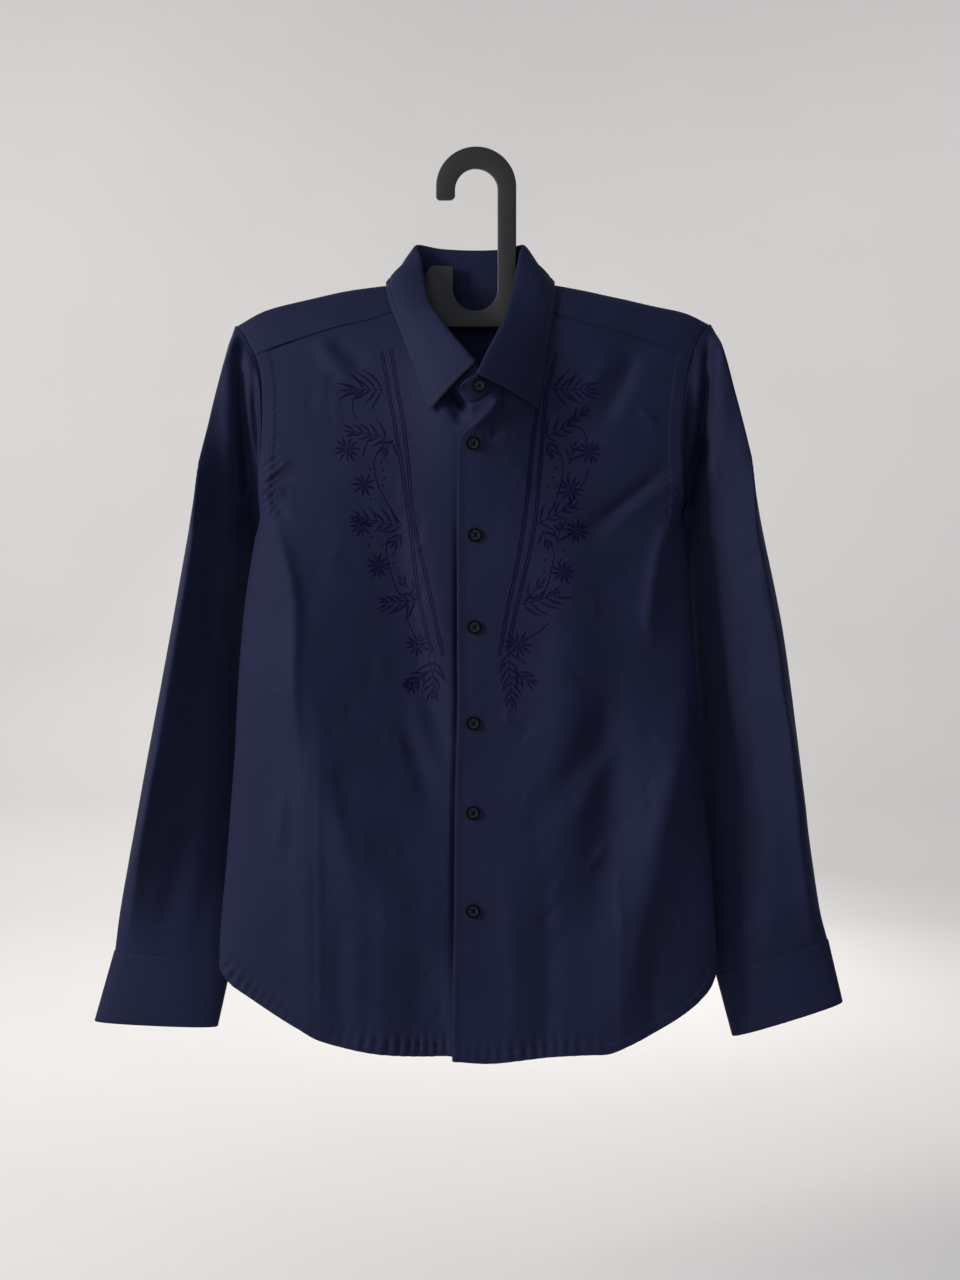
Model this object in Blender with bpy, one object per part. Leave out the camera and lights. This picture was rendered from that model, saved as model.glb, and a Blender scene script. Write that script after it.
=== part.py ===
# Long-sleeved shirt with an embroidered front, hanging buttoned on a flat hanger.
# Metres. The origin is the top of the inside of the hanger's hook, where a rail bears.
# +X is the side of the sleeve on the right of a front view, -Y is the front, +Z is up.
# Left and right in the names are the wearer's: the left front is on the +X side.
import math

import bmesh
import bpy
from mathutils import Vector, geometry

for old in list(bpy.data.objects):
    bpy.data.objects.remove(old, do_unlink=True)

# Driving dimensions
WALL = 0.0012            # thickness of every piece of cloth
SEAM = 0.0003            # half the slit between two pieces that are sewn together
SIDE_GAP = 0.0006        # half the slit at the side seams, where the cloth turns back
LAP = 0.0021             # the buttonhole front stands this far ahead of the button front
FRONT_ROLL = 0.100       # the front reaches its full depth this far below the shoulder
BACK_ROLL = 0.030        # the same for the back, which drops straight from the hanger
EDGE_POWER = 2.8         # how boxy a level cut through the body is
SLEEVE_OFF = 0.0014      # from the cut edge of the armhole out to the top of the sleeve
NECK_BULGE = 0.025       # the closed collar holds the front forward by this much
NECK_SPREAD = (0.052, 0.070)
NECK_LEVEL = -0.215
BACK_SEAM_Z = -0.190     # seam between yoke and back
HANGER_THICK = 0.005
HOOK_INNER = 0.0197      # inside radius of the hook
BUTTON_R = 0.0059
BUTTON_THICK = 0.0024

# Shoulder line seen from the front: x, z
RIDGE = [
    (-0.2222, -0.1463), (-0.1951, -0.1318), (-0.1582, -0.1226), (-0.1169, -0.1138),
    (-0.0843, -0.1090), (-0.0620, -0.1085), (0.0, -0.1040), (0.0600, -0.1085),
    (0.0744, -0.1090), (0.1014, -0.1138), (0.1312, -0.1205), (0.1654, -0.1278),
    (0.1938, -0.1338), (0.2166, -0.1449),
]

# Half width of the body: z, on the +X side, on the -X side
WIDTH = [
    (-0.830, 0.2120, 0.2230), (-0.7525, 0.2195, 0.2335), (-0.736, 0.2212, 0.2358),
    (-0.716, 0.2210, 0.2358), (-0.690, 0.2193, 0.2340), (-0.640, 0.2163, 0.2295),
    (-0.590, 0.2113, 0.2257), (-0.539, 0.2075, 0.2219), (-0.493, 0.2045, 0.2198),
    (-0.434, 0.2003, 0.2157), (-0.402, 0.1980, 0.2125), (-0.373, 0.1952, 0.2082),
    (-0.344, 0.1918, 0.2032), (-0.321, 0.1885, 0.1985), (-0.290, 0.2035, 0.2120),
    (-0.250, 0.2140, 0.2220), (-0.200, 0.2220, 0.2290), (-0.150, 0.2300, 0.2360),
    (-0.100, 0.2340, 0.2400),
]

# How far front and back stand from the side seams, and y of the seams: z, front, back, y
DEPTH = [
    (-0.83, 0.0250, 0.0190, -0.012), (-0.60, 0.0275, 0.0200, -0.012),
    (-0.40, 0.0300, 0.0210, -0.012), (-0.32, 0.0295, 0.0210, -0.012),
    (-0.25, 0.0290, 0.0180, -0.009), (-0.17, 0.0300, 0.0150, -0.003),
    (-0.14, 0.0300, 0.0150, -0.002),
]

# Armholes: z, x of the front edge, x of the back edge
ARMHOLE_LEFT = [
    (-0.3210, 0.1878, 0.1878), (-0.3055, 0.1890, 0.1890), (-0.2916, 0.1885, 0.1895),
    (-0.2637, 0.1871, 0.1900), (-0.2359, 0.1878, 0.1910), (-0.2080, 0.1912, 0.1935),
    (-0.1801, 0.1969, 0.1990), (-0.1662, 0.2038, 0.2050), (-0.1538, 0.2108, 0.2110),
    (-0.1449, 0.2166, 0.2166),
]
ARMHOLE_RIGHT = [
    (-0.3210, 0.1978, 0.1978), (-0.3055, 0.1982, 0.1980), (-0.2846, 0.1973, 0.1980),
    (-0.2567, 0.1952, 0.1982), (-0.2289, 0.1945, 0.1990), (-0.2011, 0.1959, 0.2015),
    (-0.1801, 0.2003, 0.2060), (-0.1662, 0.2091, 0.2110), (-0.1551, 0.2154, 0.2160),
    (-0.1463, 0.2222, 0.2222),
]

# Seam between yoke and front: x, z
YOKE_LEFT = [
    (0.0580, -0.1335), (0.0733, -0.1383), (0.1098, -0.1495), (0.1518, -0.1608),
    (0.1868, -0.1737), (0.1983, -0.1768),
]
YOKE_RIGHT = [
    (0.0620, -0.1330), (0.0788, -0.1383), (0.1039, -0.1460), (0.1362, -0.1537),
    (0.1670, -0.1635), (0.1964, -0.1737), (0.2020, -0.1768),
]

# Hems from the middle to the side seam: x, z
HEM_LEFT = [
    (-0.0207, -0.8191), (0.0121, -0.8211), (0.0413, -0.8184), (0.0737, -0.8154),
    (0.1062, -0.8138), (0.1191, -0.8133), (0.1305, -0.8096), (0.1630, -0.7943),
    (0.1954, -0.7749), (0.2130, -0.7590), (0.2207, -0.7440),
]
HEM_RIGHT = [
    (-0.0130, -0.8165), (0.0216, -0.8157), (0.0457, -0.8160), (0.0759, -0.8142),
    (0.1060, -0.8099), (0.1422, -0.8007), (0.1602, -0.7911), (0.1813, -0.7791),
    (0.2084, -0.7625), (0.2265, -0.7510), (0.2350, -0.7400),
]

# Middle edges from the neck to the hem: x, z
EDGE_LEFT = [
    (-0.0046, -0.2300), (-0.0048, -0.2440), (-0.0146, -0.2590), (-0.0165, -0.2850),
    (-0.0165, -0.4560), (-0.0163, -0.5099), (-0.0183, -0.5818), (-0.0192, -0.6717),
    (-0.0201, -0.7437), (-0.0207, -0.8191),
]
EDGE_RIGHT = [
    (-0.0130, -0.2290), (-0.0130, -0.4000), (-0.0130, -0.6000), (-0.0130, -0.8165),
]

# Neck seam on the fronts, from the middle to the yoke: x, z
NECK_LEFT = [
    (-0.0046, -0.2294), (0.0041, -0.2252), (0.0154, -0.2151), (0.0240, -0.2050),
    (0.0360, -0.1870), (0.0460, -0.1690), (0.0530, -0.1540), (0.0580, -0.1335),
]
NECK_RIGHT = [
    (-0.0130, -0.2284), (0.0050, -0.2262), (0.0150, -0.2165), (0.0260, -0.2040),
    (0.0400, -0.1850), (0.0500, -0.1680), (0.0580, -0.1500), (0.0620, -0.1330),
]

# Back of the neck: x, how far the neck seam lies below the shoulder line
NECK_BACK = [(0.0, 0.0080), (0.030, 0.0072), (0.048, 0.0052), (0.060, 0.0022)]
# x of the neck seam where it crosses the shoulder line
NECK_TOP = {"left": 0.0605, "right": 0.0630}

# Collar, one row for each section from the back to the front end: the fold as x, y, z,
# the neck seam as its x at the back and its z in front, and the edge of the leaf as x, z
# and how far it lies off the body.
COLLAR_LEFT = [
    ("back", (0.0000, 0.0080, -0.0755), 0.0000, (0.0000, -0.1190, 0.0030)),
    ("back", (0.0260, 0.0078, -0.0742), 0.0330, (0.0400, -0.1180, 0.0030)),
    ("back", (0.0422, 0.0040, -0.0714), 0.0560, (0.0640, -0.1140, 0.0028)),
    ("ridge", (0.0406, -0.0055, -0.0815), 0.0605, (0.0716, -0.1055, 0.0)),
    ("front", (0.0398, -0.0092, -0.0866), -0.1120, (0.0724, -0.1110, 0.0026)),
    ("front", (0.0390, -0.0130, -0.0921), -0.1190, (0.0728, -0.1180, 0.0026)),
    ("front", (0.0342, -0.0240, -0.1161), -0.1350, (0.0716, -0.1335, 0.0026)),
    ("front", (0.0310, -0.0330, -0.1300), -0.1540, (0.0680, -0.1534, 0.0028)),
    ("front", (0.0284, -0.0410, -0.1421), -0.1690, (0.0645, -0.1750, 0.0032)),
    ("front", (0.0205, -0.0520, -0.1609), -0.1870, (0.0612, -0.1960, 0.0040)),
    ("front", (0.0117, -0.0615, -0.1791), -0.2050, (0.0584, -0.2150, 0.0052)),
    ("front", (0.0008, -0.0715, -0.2020), -0.2195, (0.0559, -0.2286, 0.0062)),
]
COLLAR_RIGHT = [
    ("back", (0.0000, 0.0080, -0.0755), 0.0000, (0.0000, -0.1190, 0.0030)),
    ("back", (0.0320, 0.0078, -0.0740), 0.0380, (0.0430, -0.1180, 0.0030)),
    ("back", (0.0534, 0.0040, -0.0712), 0.0590, (0.0740, -0.1140, 0.0028)),
    ("ridge", (0.0520, -0.0055, -0.0820), 0.0630, (0.0824, -0.1058, 0.0)),
    ("front", (0.0511, -0.0092, -0.0874), -0.1120, (0.0824, -0.1118, 0.0026)),
    ("front", (0.0501, -0.0130, -0.0933), -0.1190, (0.0818, -0.1180, 0.0026)),
    ("front", (0.0468, -0.0240, -0.1161), -0.1350, (0.0780, -0.1330, 0.0026)),
    ("front", (0.0431, -0.0330, -0.1323), -0.1500, (0.0701, -0.1523, 0.0028)),
    ("front", (0.0352, -0.0420, -0.1449), -0.1680, (0.0625, -0.1735, 0.0032)),
    ("front", (0.0252, -0.0510, -0.1598), -0.1850, (0.0540, -0.1950, 0.0040)),
    ("front", (0.0120, -0.0600, -0.1769), -0.2040, (0.0475, -0.2150, 0.0052)),
    ("front", (0.0000, -0.0660, -0.1915), -0.2205, (0.0416, -0.2324, 0.0062)),
]
# The ends of the band past the last row of the collar: fold x, y, z and neck seam x, z
BAND_END_LEFT = [
    ((-0.0055, -0.0722, -0.2050), (0.0020, -0.2246)),
    ((-0.0105, -0.0722, -0.2080), (-0.0060, -0.2262)),
    ((-0.0139, -0.0722, -0.2130), (-0.0125, -0.2215)),
]
BAND_END_RIGHT = [
    ((-0.0065, -0.0640, -0.1975), (0.0020, -0.2250)),
    ((-0.0120, -0.0610, -0.2040), (-0.0080, -0.2240)),
]

# Sleeves from the armhole to the cuff: share of the length, outer edge x, y, z, inner
# edge x, y, z, bulge to the front, bulge to the back
SLEEVE_LEFT = [
    (0.00, 0.2166, 0.000, -0.1449, 0.1880, -0.012, -0.3230, 0.024, 0.018),
    (0.04, 0.2262, 0.000, -0.1640, 0.1903, -0.004, -0.3290, 0.025, 0.019),
    (0.12, 0.2376, 0.000, -0.2100, 0.1908, 0.006, -0.3440, 0.027, 0.018),
    (0.22, 0.2496, -0.002, -0.2680, 0.1930, 0.013, -0.3720, 0.028, 0.016),
    (0.34, 0.2642, -0.004, -0.3420, 0.1960, 0.018, -0.4150, 0.028, 0.013),
    (0.48, 0.2815, -0.006, -0.4300, 0.2000, 0.020, -0.4800, 0.027, 0.011),
    (0.62, 0.2934, -0.006, -0.5180, 0.2020, 0.019, -0.5500, 0.025, 0.010),
    (0.76, 0.3048, -0.004, -0.6080, 0.2060, 0.016, -0.6240, 0.022, 0.010),
    (0.90, 0.3168, -0.001, -0.6850, 0.2150, 0.011, -0.7010, 0.016, 0.009),
    (1.00, 0.3255, 0.002, -0.7180, 0.2232, 0.008, -0.7498, 0.011, 0.008),
]
SLEEVE_RIGHT = [
    (0.00, 0.2222, 0.000, -0.1463, 0.1980, -0.012, -0.3230, 0.024, 0.018),
    (0.04, 0.2282, 0.000, -0.1650, 0.1998, -0.004, -0.3290, 0.025, 0.019),
    (0.12, 0.2408, 0.000, -0.2150, 0.2000, 0.008, -0.3440, 0.027, 0.018),
    (0.22, 0.2516, -0.002, -0.2720, 0.2025, 0.016, -0.3720, 0.028, 0.016),
    (0.34, 0.2652, -0.004, -0.3480, 0.2040, 0.020, -0.4150, 0.028, 0.013),
    (0.48, 0.2815, -0.006, -0.4400, 0.2055, 0.021, -0.4800, 0.027, 0.011),
    (0.62, 0.2985, -0.006, -0.5300, 0.2075, 0.020, -0.5500, 0.025, 0.010),
    (0.76, 0.3138, -0.004, -0.6120, 0.2120, 0.018, -0.6240, 0.022, 0.010),
    (0.90, 0.3278, -0.001, -0.6850, 0.2200, 0.012, -0.6960, 0.016, 0.009),
    (1.00, 0.3342, 0.002, -0.7280, 0.2270, 0.008, -0.7370, 0.011, 0.008),
]
# Free edges of the cuffs: outer x, y, z, inner x, y, z, bulge front, bulge back
CUFF_LEFT = (0.3390, 0.002, -0.7743, 0.2388, 0.008, -0.8072, 0.010, 0.008)
CUFF_RIGHT = (0.3526, 0.002, -0.7918, 0.2408, 0.008, -0.7984, 0.010, 0.008)

# Large soft folds: face, x and z of the two ends, half width, height out of the face
FOLDS = [
    ("front", -0.190, -0.315, -0.170, -0.480, 0.020, 0.0030),
    ("front", -0.165, -0.500, -0.165, -0.780, 0.028, 0.0030),
    ("front", -0.110, -0.560, -0.100, -0.760, 0.030, -0.0028),
    ("front", 0.145, -0.175, 0.100, -0.245, 0.018, -0.0026),
    ("front", 0.170, -0.285, 0.110, -0.335, 0.012, -0.0024),
    ("front", 0.185, -0.320, 0.155, -0.420, 0.018, 0.0028),
    ("front", 0.120, -0.500, 0.070, -0.590, 0.022, -0.0026),
    ("front", 0.185, -0.530, 0.160, -0.680, 0.022, 0.0026),
    ("back", -0.150, -0.300, -0.120, -0.760, 0.030, 0.0026),
    ("back", 0.140, -0.320, 0.125, -0.740, 0.030, 0.0026),
    ("back", 0.020, -0.400, 0.010, -0.780, 0.035, -0.0026),
]
SLEEVE_FOLDS = [
    ("left", 0.214, -0.170, 0.207, -0.262, 0.0065, -0.0090),
    ("left", 0.207, -0.262, 0.196, -0.318, 0.0060, -0.0070),
    ("left", 0.262, -0.385, 0.276, -0.480, 0.011, 0.0026),
    ("left", 0.284, -0.500, 0.300, -0.590, 0.010, 0.0030),
    ("right", -0.217, -0.175, -0.214, -0.290, 0.0060, -0.0060),
    ("right", -0.226, -0.200, -0.227, -0.330, 0.0070, 0.0030),
    ("right", -0.228, -0.345, -0.226, -0.480, 0.0100, 0.0026),
    ("right", -0.257, -0.330, -0.276, -0.470, 0.0100, 0.0028),
    ("right", -0.284, -0.510, -0.310, -0.630, 0.0100, 0.0028),
]

# Front buttons: x, z
BUTTONS = [
    (-0.0026, -0.2617), (-0.0011, -0.3432), (-0.0017, -0.4263),
    (-0.0026, -0.5132), (-0.0029, -0.5940), (-0.0028, -0.6830),
]
COLLAR_BUTTON = (0.0026, -0.2130)

# Outline of the hanger: the stem and the step down to each arm, x and z
STEM_RIGHT = [
    (-0.0211, -0.1115), (-0.0211, -0.0908), (-0.0409, -0.0898), (-0.0482, -0.0979),
    (-0.0492, -0.1065), (-0.0540, -0.1122),
]
STEM_LEFT = [
    (0.0520, -0.1122), (0.0430, -0.1085), (0.0385, -0.1020), (0.0373, -0.0930),
]
# Where the top of each arm follows the shoulder, and where its tip turns: x, drop
ARM_TOP_RIGHT = [
    (-0.0660, 0.0031), (-0.0950, 0.0031), (-0.1250, 0.0031), (-0.1550, 0.0031),
    (-0.1850, 0.0031), (-0.2040, 0.0045), (-0.2075, 0.0130),
]
ARM_TOP_LEFT = [
    (0.2020, 0.0130), (0.1985, 0.0045), (0.1800, 0.0031), (0.1500, 0.0031),
    (0.1200, 0.0031), (0.0900, 0.0031), (0.0660, 0.0031),
]
# Lower edge from the tip on the -X side to the other tip: x, z
ARM_BOTTOM = [
    (-0.2010, -0.1600), (-0.1500, -0.1490), (-0.1000, -0.1430), (-0.0600, -0.1465),
    (-0.0300, -0.1477), (0.0300, -0.1477), (0.0600, -0.1465), (0.0950, -0.1430),
    (0.1450, -0.1490), (0.1950, -0.1590),
]

SIDES = {
    "left": (1, ARMHOLE_LEFT, YOKE_LEFT, HEM_LEFT, EDGE_LEFT, NECK_LEFT),
    "right": (-1, ARMHOLE_RIGHT, YOKE_RIGHT, HEM_RIGHT, EDGE_RIGHT, NECK_RIGHT),
}


def ease(t):
    t = min(1.0, max(0.0, t))
    return t * t * (3.0 - 2.0 * t)


def lerp(a, b, t):
    return a + (b - a) * t


# A value read from a table with a smooth curve through its rows
def read(table, key, col=1):
    rows = sorted(table)
    if key <= rows[0][0]:
        return rows[0][col]
    if key >= rows[-1][0]:
        return rows[-1][col]
    i = next(n for n in range(len(rows) - 1) if rows[n + 1][0] >= key)
    x0, x1 = rows[i][0], rows[i + 1][0]
    y0, y1 = rows[i][col], rows[i + 1][col]
    span = x1 - x0
    slope = (y1 - y0) / span
    before = slope if i == 0 else (y1 - rows[i - 1][col]) / (x1 - rows[i - 1][0])
    last = i + 2 >= len(rows)
    after = slope if last else (rows[i + 2][col] - y0) / (rows[i + 2][0] - x0)
    t = (key - x0) / span
    a = 2 * t ** 3 - 3 * t ** 2 + 1
    b = t ** 3 - 2 * t ** 2 + t
    c = t ** 3 - t ** 2
    return a * y0 + b * span * before + (1 - a) * y1 + c * span * after


# Points along a smooth curve through the given ones, at the given shares of its length
def trace(points, shares):
    pts = [Vector(p) for p in points]
    dense = []
    for i in range(len(pts) - 1):
        p0 = pts[i - 1] if i else pts[i] * 2 - pts[i + 1]
        p3 = pts[i + 2] if i + 2 < len(pts) else pts[i + 1] * 2 - pts[i]
        p1, p2 = pts[i], pts[i + 1]
        span = (p2 - p1).length
        m1 = (p2 - p0) * (span / (span + (p1 - p0).length))
        m2 = (p3 - p1) * (span / (span + (p3 - p2).length))
        for k in range(12):
            t = k / 12
            a = 2 * t ** 3 - 3 * t ** 2 + 1
            b = t ** 3 - 2 * t ** 2 + t
            c = t ** 3 - t ** 2
            dense.append(p1 * a + m1 * b + p2 * (1 - a) + m2 * c)
    dense.append(pts[-1])
    run = [0.0]
    for a, b in zip(dense, dense[1:]):
        run.append(run[-1] + (b - a).length)
    out = []
    for share in shares:
        want = min(share, 1.0) * run[-1]
        i = next((n for n in range(len(run) - 1) if run[n + 1] >= want), len(run) - 2)
        step = run[i + 1] - run[i]
        out.append(dense[i].lerp(dense[i + 1], (want - run[i]) / step if step else 0.0))
    return out


def even(count):
    return [i / count for i in range(count + 1)]


def shares_of(points):
    run = [0.0]
    for a, b in zip(points, points[1:]):
        run.append(run[-1] + (b - a).length)
    return [r / run[-1] for r in run]


# A sheet of points between four edges, top and bottom running outwards
def fill(top, bottom, inner, outer, us, vs):
    rows = []
    for j, v in enumerate(vs):
        row = []
        for i, u in enumerate(us):
            flat = top[i].lerp(bottom[i], v) + inner[j].lerp(outer[j], u)
            corners = top[0].lerp(top[-1], u).lerp(bottom[0].lerp(bottom[-1], u), v)
            row.append(flat - corners)
        rows.append(row)
    return rows


def fold_height(table, face, x, z):
    total = 0.0
    for name, x0, z0, x1, z1, half, height in table:
        if name != face:
            continue
        run = Vector((x1 - x0, z1 - z0))
        gone = Vector((x - x0, z - z0))
        along = gone.dot(run) / run.length_squared
        over = max(0.0, -along, along - 1.0) * run.length / (half * 1.6)
        off = abs(gone.x * run.y - gone.y * run.x) / run.length / half
        total += height * math.exp(-off * off - over * over)
    return total


# Depth of the body at a point of the front view, on its front or its back
def body_y(x, z, face):
    wide = read(WIDTH, z, 1 if x >= 0 else 2)
    u = min(1.0, abs(x) / wide)
    shape = (1.0 - u ** EDGE_POWER) ** (1.0 / EDGE_POWER)
    side_y = read(DEPTH, z, 3)
    drop = max(0.0, read(RIDGE, x) - z)
    if face == "front":
        off = Vector((x / NECK_SPREAD[0], (z - NECK_LEVEL) / NECK_SPREAD[1]))
        deep = read(DEPTH, z, 1) + NECK_BULGE * math.exp(-off.length_squared)
        reach = side_y - deep * shape
        reach -= fold_height(FOLDS, "front", x, z) * shape
        roll = min(1.0, drop / FRONT_ROLL)
    else:
        reach = side_y + read(DEPTH, z, 2) * shape
        reach += fold_height(FOLDS, "back", x, z) * shape
        roll = min(1.0, drop / BACK_ROLL)
    gap = SIDE_GAP * (1.0 - shape) * (-1 if face == "front" else 1)
    return reach * math.sqrt(1.0 - (1.0 - roll) ** 2) + gap * roll


def on_body(x, z, face):
    return Vector((x, body_y(x, z, face), z))


def ride_front(x):
    return LAP * ease((0.070 - x) / 0.045)


def material(name, colour, rough, metal=0.0):
    made = bpy.data.materials.new(name)
    made.use_nodes = True
    shader = made.node_tree.nodes["Principled BSDF"]
    shader.inputs["Base Color"].default_value = (*colour, 1.0)
    shader.inputs["Roughness"].default_value = rough
    shader.inputs["Metallic"].default_value = metal
    return made


CLOTH = material("navy_cotton", (0.016, 0.019, 0.052), 0.72)
HORN = material("dark_button", (0.012, 0.012, 0.016), 0.30)
PLASTIC = material("black_plastic", (0.020, 0.020, 0.021), 0.55)


def add_mesh(name, verts, faces, look):
    mesh = bpy.data.meshes.new(name)
    mesh.from_pydata([tuple(v) for v in verts], [], faces)
    mesh.materials.append(look)
    work = bmesh.new()
    work.from_mesh(mesh)
    bmesh.ops.recalc_face_normals(work, faces=work.faces)
    work.to_mesh(mesh)
    work.free()
    for poly in mesh.polygons:
        poly.use_smooth = True
    made = bpy.data.objects.new(name, mesh)
    bpy.context.scene.collection.objects.link(made)
    return made


# A closed wall of cloth from a sheet of points: both faces and the cut edges
def cloth(name, points, quads, thick=WALL):
    normals = [Vector((0, 0, 0)) for _ in points]
    edges = {}
    for quad in quads:
        a, b, c, d = [points[i] for i in quad]
        way = (c - a).cross(d - b).normalized()
        for i in quad:
            normals[i] += way
        for i, j in zip(quad, quad[1:] + quad[:1]):
            edges[(i, j)] = edges.get((i, j), 0) + 1
    count = len(points)
    verts = []
    for side in (0.5, -0.5):
        for p, n in zip(points, normals):
            verts.append(p + n.normalized() * (thick * side))
    faces = []
    for a, b, c, d in quads:
        long_way = (points[a] - points[c]).length > (points[b] - points[d]).length
        pair = ((a, b, d), (b, c, d)) if long_way else ((a, b, c), (a, c, d))
        for tri in pair:
            faces.append(tri)
            faces.append(tuple(i + count for i in reversed(tri)))
    for i, j in edges:
        if (j, i) not in edges:
            faces.append((j, i, i + count, j + count))
    return add_mesh(name, verts, faces, CLOTH)


def grid_quads(rows, cols, loop=False):
    quads = []
    wide = cols if loop else cols - 1
    for j in range(rows - 1):
        for i in range(wide):
            k = (i + 1) % cols
            quads.append((j * cols + i, j * cols + k, (j + 1) * cols + k, (j + 1) * cols + i))
    return quads


def sheet(name, rows, loop=False):
    points = [p for row in rows for p in row]
    return cloth(name, points, grid_quads(len(rows), len(rows[0]), loop))


# Where the armhole is crossed at a drop below the shoulder line
def armhole_at(side, drop, face):
    way, table = SIDES[side][0], SIDES[side][1]
    col = 1 if face == "front" else 2
    z = read(RIDGE, way * table[-1][1]) - drop
    x = table[-1][1]
    for _ in range(12):
        x = read(table, z, col)
        z = read(RIDGE, way * x) - drop
    return x, z


def build_front(side):
    way, armhole, yoke, hem, edge, neck = SIDES[side]
    neckline = trace([(x, z - SEAM) for x, z in neck], even(6))
    seam = trace([(x, z - SEAM) for x, z in yoke], [0.0, 0.14, 0.28, 0.42, 0.56, 0.70, 0.83, 0.93, 1.0])
    top = neckline + seam[1:]
    corner = top[-1]
    levels = [lerp(corner.y, -0.3210, t) for t in even(7)]
    outer = [Vector((read(armhole, z) - SEAM, z)) for z in levels]
    outer[0] = corner
    for t in even(13)[1:]:
        z = lerp(-0.3210, hem[-1][1], t)
        outer.append(Vector((read(WIDTH, z, 1 if way > 0 else 2), z)))
    us, vs = shares_of(top), shares_of(outer)
    bottom = trace(hem, us)
    inner = trace(edge, vs)
    inner[0] = top[0]
    bottom[-1] = outer[-1]
    bottom[0] = inner[-1]
    rows = []
    for row in fill(top, bottom, inner, outer, us, vs):
        line = []
        for p in row:
            spot = on_body(way * p.x, p.y, "front")
            if side == "left":
                spot.y -= ride_front(p.x)
            line.append(spot)
        rows.append(line)
    return sheet("front_" + side, rows)


def build_back():
    level = BACK_SEAM_Z - SEAM
    ends = []
    for side in ("right", "left"):
        way, armhole = SIDES[side][:2]
        line = []
        for t in even(6):
            z = lerp(level, -0.3210, t)
            line.append(Vector((way * (read(armhole, z, 2) - SEAM), z)))
        for t in even(12)[1:]:
            z = lerp(-0.3210, -0.7420, t)
            line.append(Vector((way * read(WIDTH, z, 1 if way > 0 else 2), z)))
        ends.append(line)
    shares = [0.5 - 0.5 * math.cos(math.pi * (0.12 + 0.76 * t)) for t in even(18)]
    shares = [(s - shares[0]) / (shares[-1] - shares[0]) for s in shares]
    top = [ends[0][0].lerp(ends[1][0], s) for s in shares]
    hem = [(-x, z + 0.003) for x, z in reversed(HEM_RIGHT[2:-1])]
    hem = [tuple(ends[0][-1])] + hem + [(0.0, -0.8155)]
    hem += [(x, z + 0.003) for x, z in HEM_LEFT[2:-1]] + [tuple(ends[1][-1])]
    bottom = trace(hem, shares)
    vs = shares_of(ends[0])
    rows = []
    for row in fill(top, bottom, ends[0], ends[1], shares, vs):
        rows.append([on_body(p.x, p.y, "back") for p in row])
    return sheet("back", rows)


# The yoke lies over both shoulders. Its rows run from the front seams over the shoulder
# line to the back seam; between the shoulders they start at the back of the neck.
def build_yoke():
    front_rows = [1.0, 0.62, 0.34, 0.14, 0.035]
    back_rows = [0.0, 0.06, 0.22, 0.46, 0.74, 1.0]
    arm_cols = [0.0, 0.11, 0.24, 0.37, 0.50, 0.63, 0.76, 0.88, 1.0]
    mid_cols = 10
    points = []
    index = {}

    def put(row, col, x, z, face):
        spot = on_body(x, z, face)
        index[(row, col)] = len(points)
        points.append(spot)

    def arm(side, row, share):
        way, armhole, yoke = SIDES[side][:3]
        neck_x = NECK_TOP[side]
        if row < len(front_rows):
            part = front_rows[row]
            start = lerp(neck_x, yoke[0][0], part)
            seam_drop = read(RIDGE, way * 0.2) - read(yoke, 0.2) - SEAM
            end_x = armhole_at(side, seam_drop * part, "front")[0]
            end_x = min(end_x, yoke[-1][0]) if part == 1.0 else end_x
            x = lerp(start, end_x - SEAM, share)
            seam_z = read(yoke, x) + SEAM
            drop = (read(RIDGE, way * x) - seam_z) * part
            return way * x, read(RIDGE, way * x) - drop, "front"
        part = back_rows[row - len(front_rows)]
        first = 0.0022
        edge_drop = read(RIDGE, way * 0.2) - BACK_SEAM_Z - SEAM
        end_x = armhole_at(side, lerp(first, edge_drop, part), "back")[0]
        if part == 1.0:
            end_x = read(armhole, BACK_SEAM_Z, 2)
        x = lerp(neck_x, end_x - SEAM, share)
        drop = lerp(first, read(RIDGE, way * x) - BACK_SEAM_Z - SEAM, part)
        return way * x, read(RIDGE, way * x) - drop, "back"

    rows = len(front_rows) + len(back_rows)
    arms = len(arm_cols)
    for row in range(rows):
        for n, share in enumerate(reversed(arm_cols)):
            put(row, n, *arm("right", row, share))
        if row >= len(front_rows):
            part = back_rows[row - len(front_rows)]
            for n in range(1, mid_cols):
                x = lerp(-NECK_TOP["right"], NECK_TOP["left"], n / mid_cols)
                first = read(NECK_BACK, abs(x))
                drop = lerp(first, read(RIDGE, x) - BACK_SEAM_Z - SEAM, part)
                put(row, arms - 1 + n, x, read(RIDGE, x) - drop, "back")
        for n, share in enumerate(arm_cols):
            put(row, arms - 1 + mid_cols + n, *arm("left", row, share))
    quads = []
    for row in range(rows - 1):
        for col in range(2 * arms - 2 + mid_cols):
            ring = [(row, col), (row, col + 1), (row + 1, col + 1), (row + 1, col)]
            if all(key in index for key in ring):
                quads.append(tuple(index[key] for key in ring))
    return cloth("yoke", points, quads)


def neck_point(side, face, value):
    way, neck = SIDES[side][0], SIDES[side][5]
    if face == "front":
        line = [(z, x) for x, z in neck] + [(-0.1085, NECK_TOP[side])]
        return on_body(way * read(line, value), value, "front")
    x = way * value
    drop = 0.0 if face == "ridge" else read(NECK_BACK, value)
    return on_body(x, read(RIDGE, x) - drop, "back")


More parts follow.
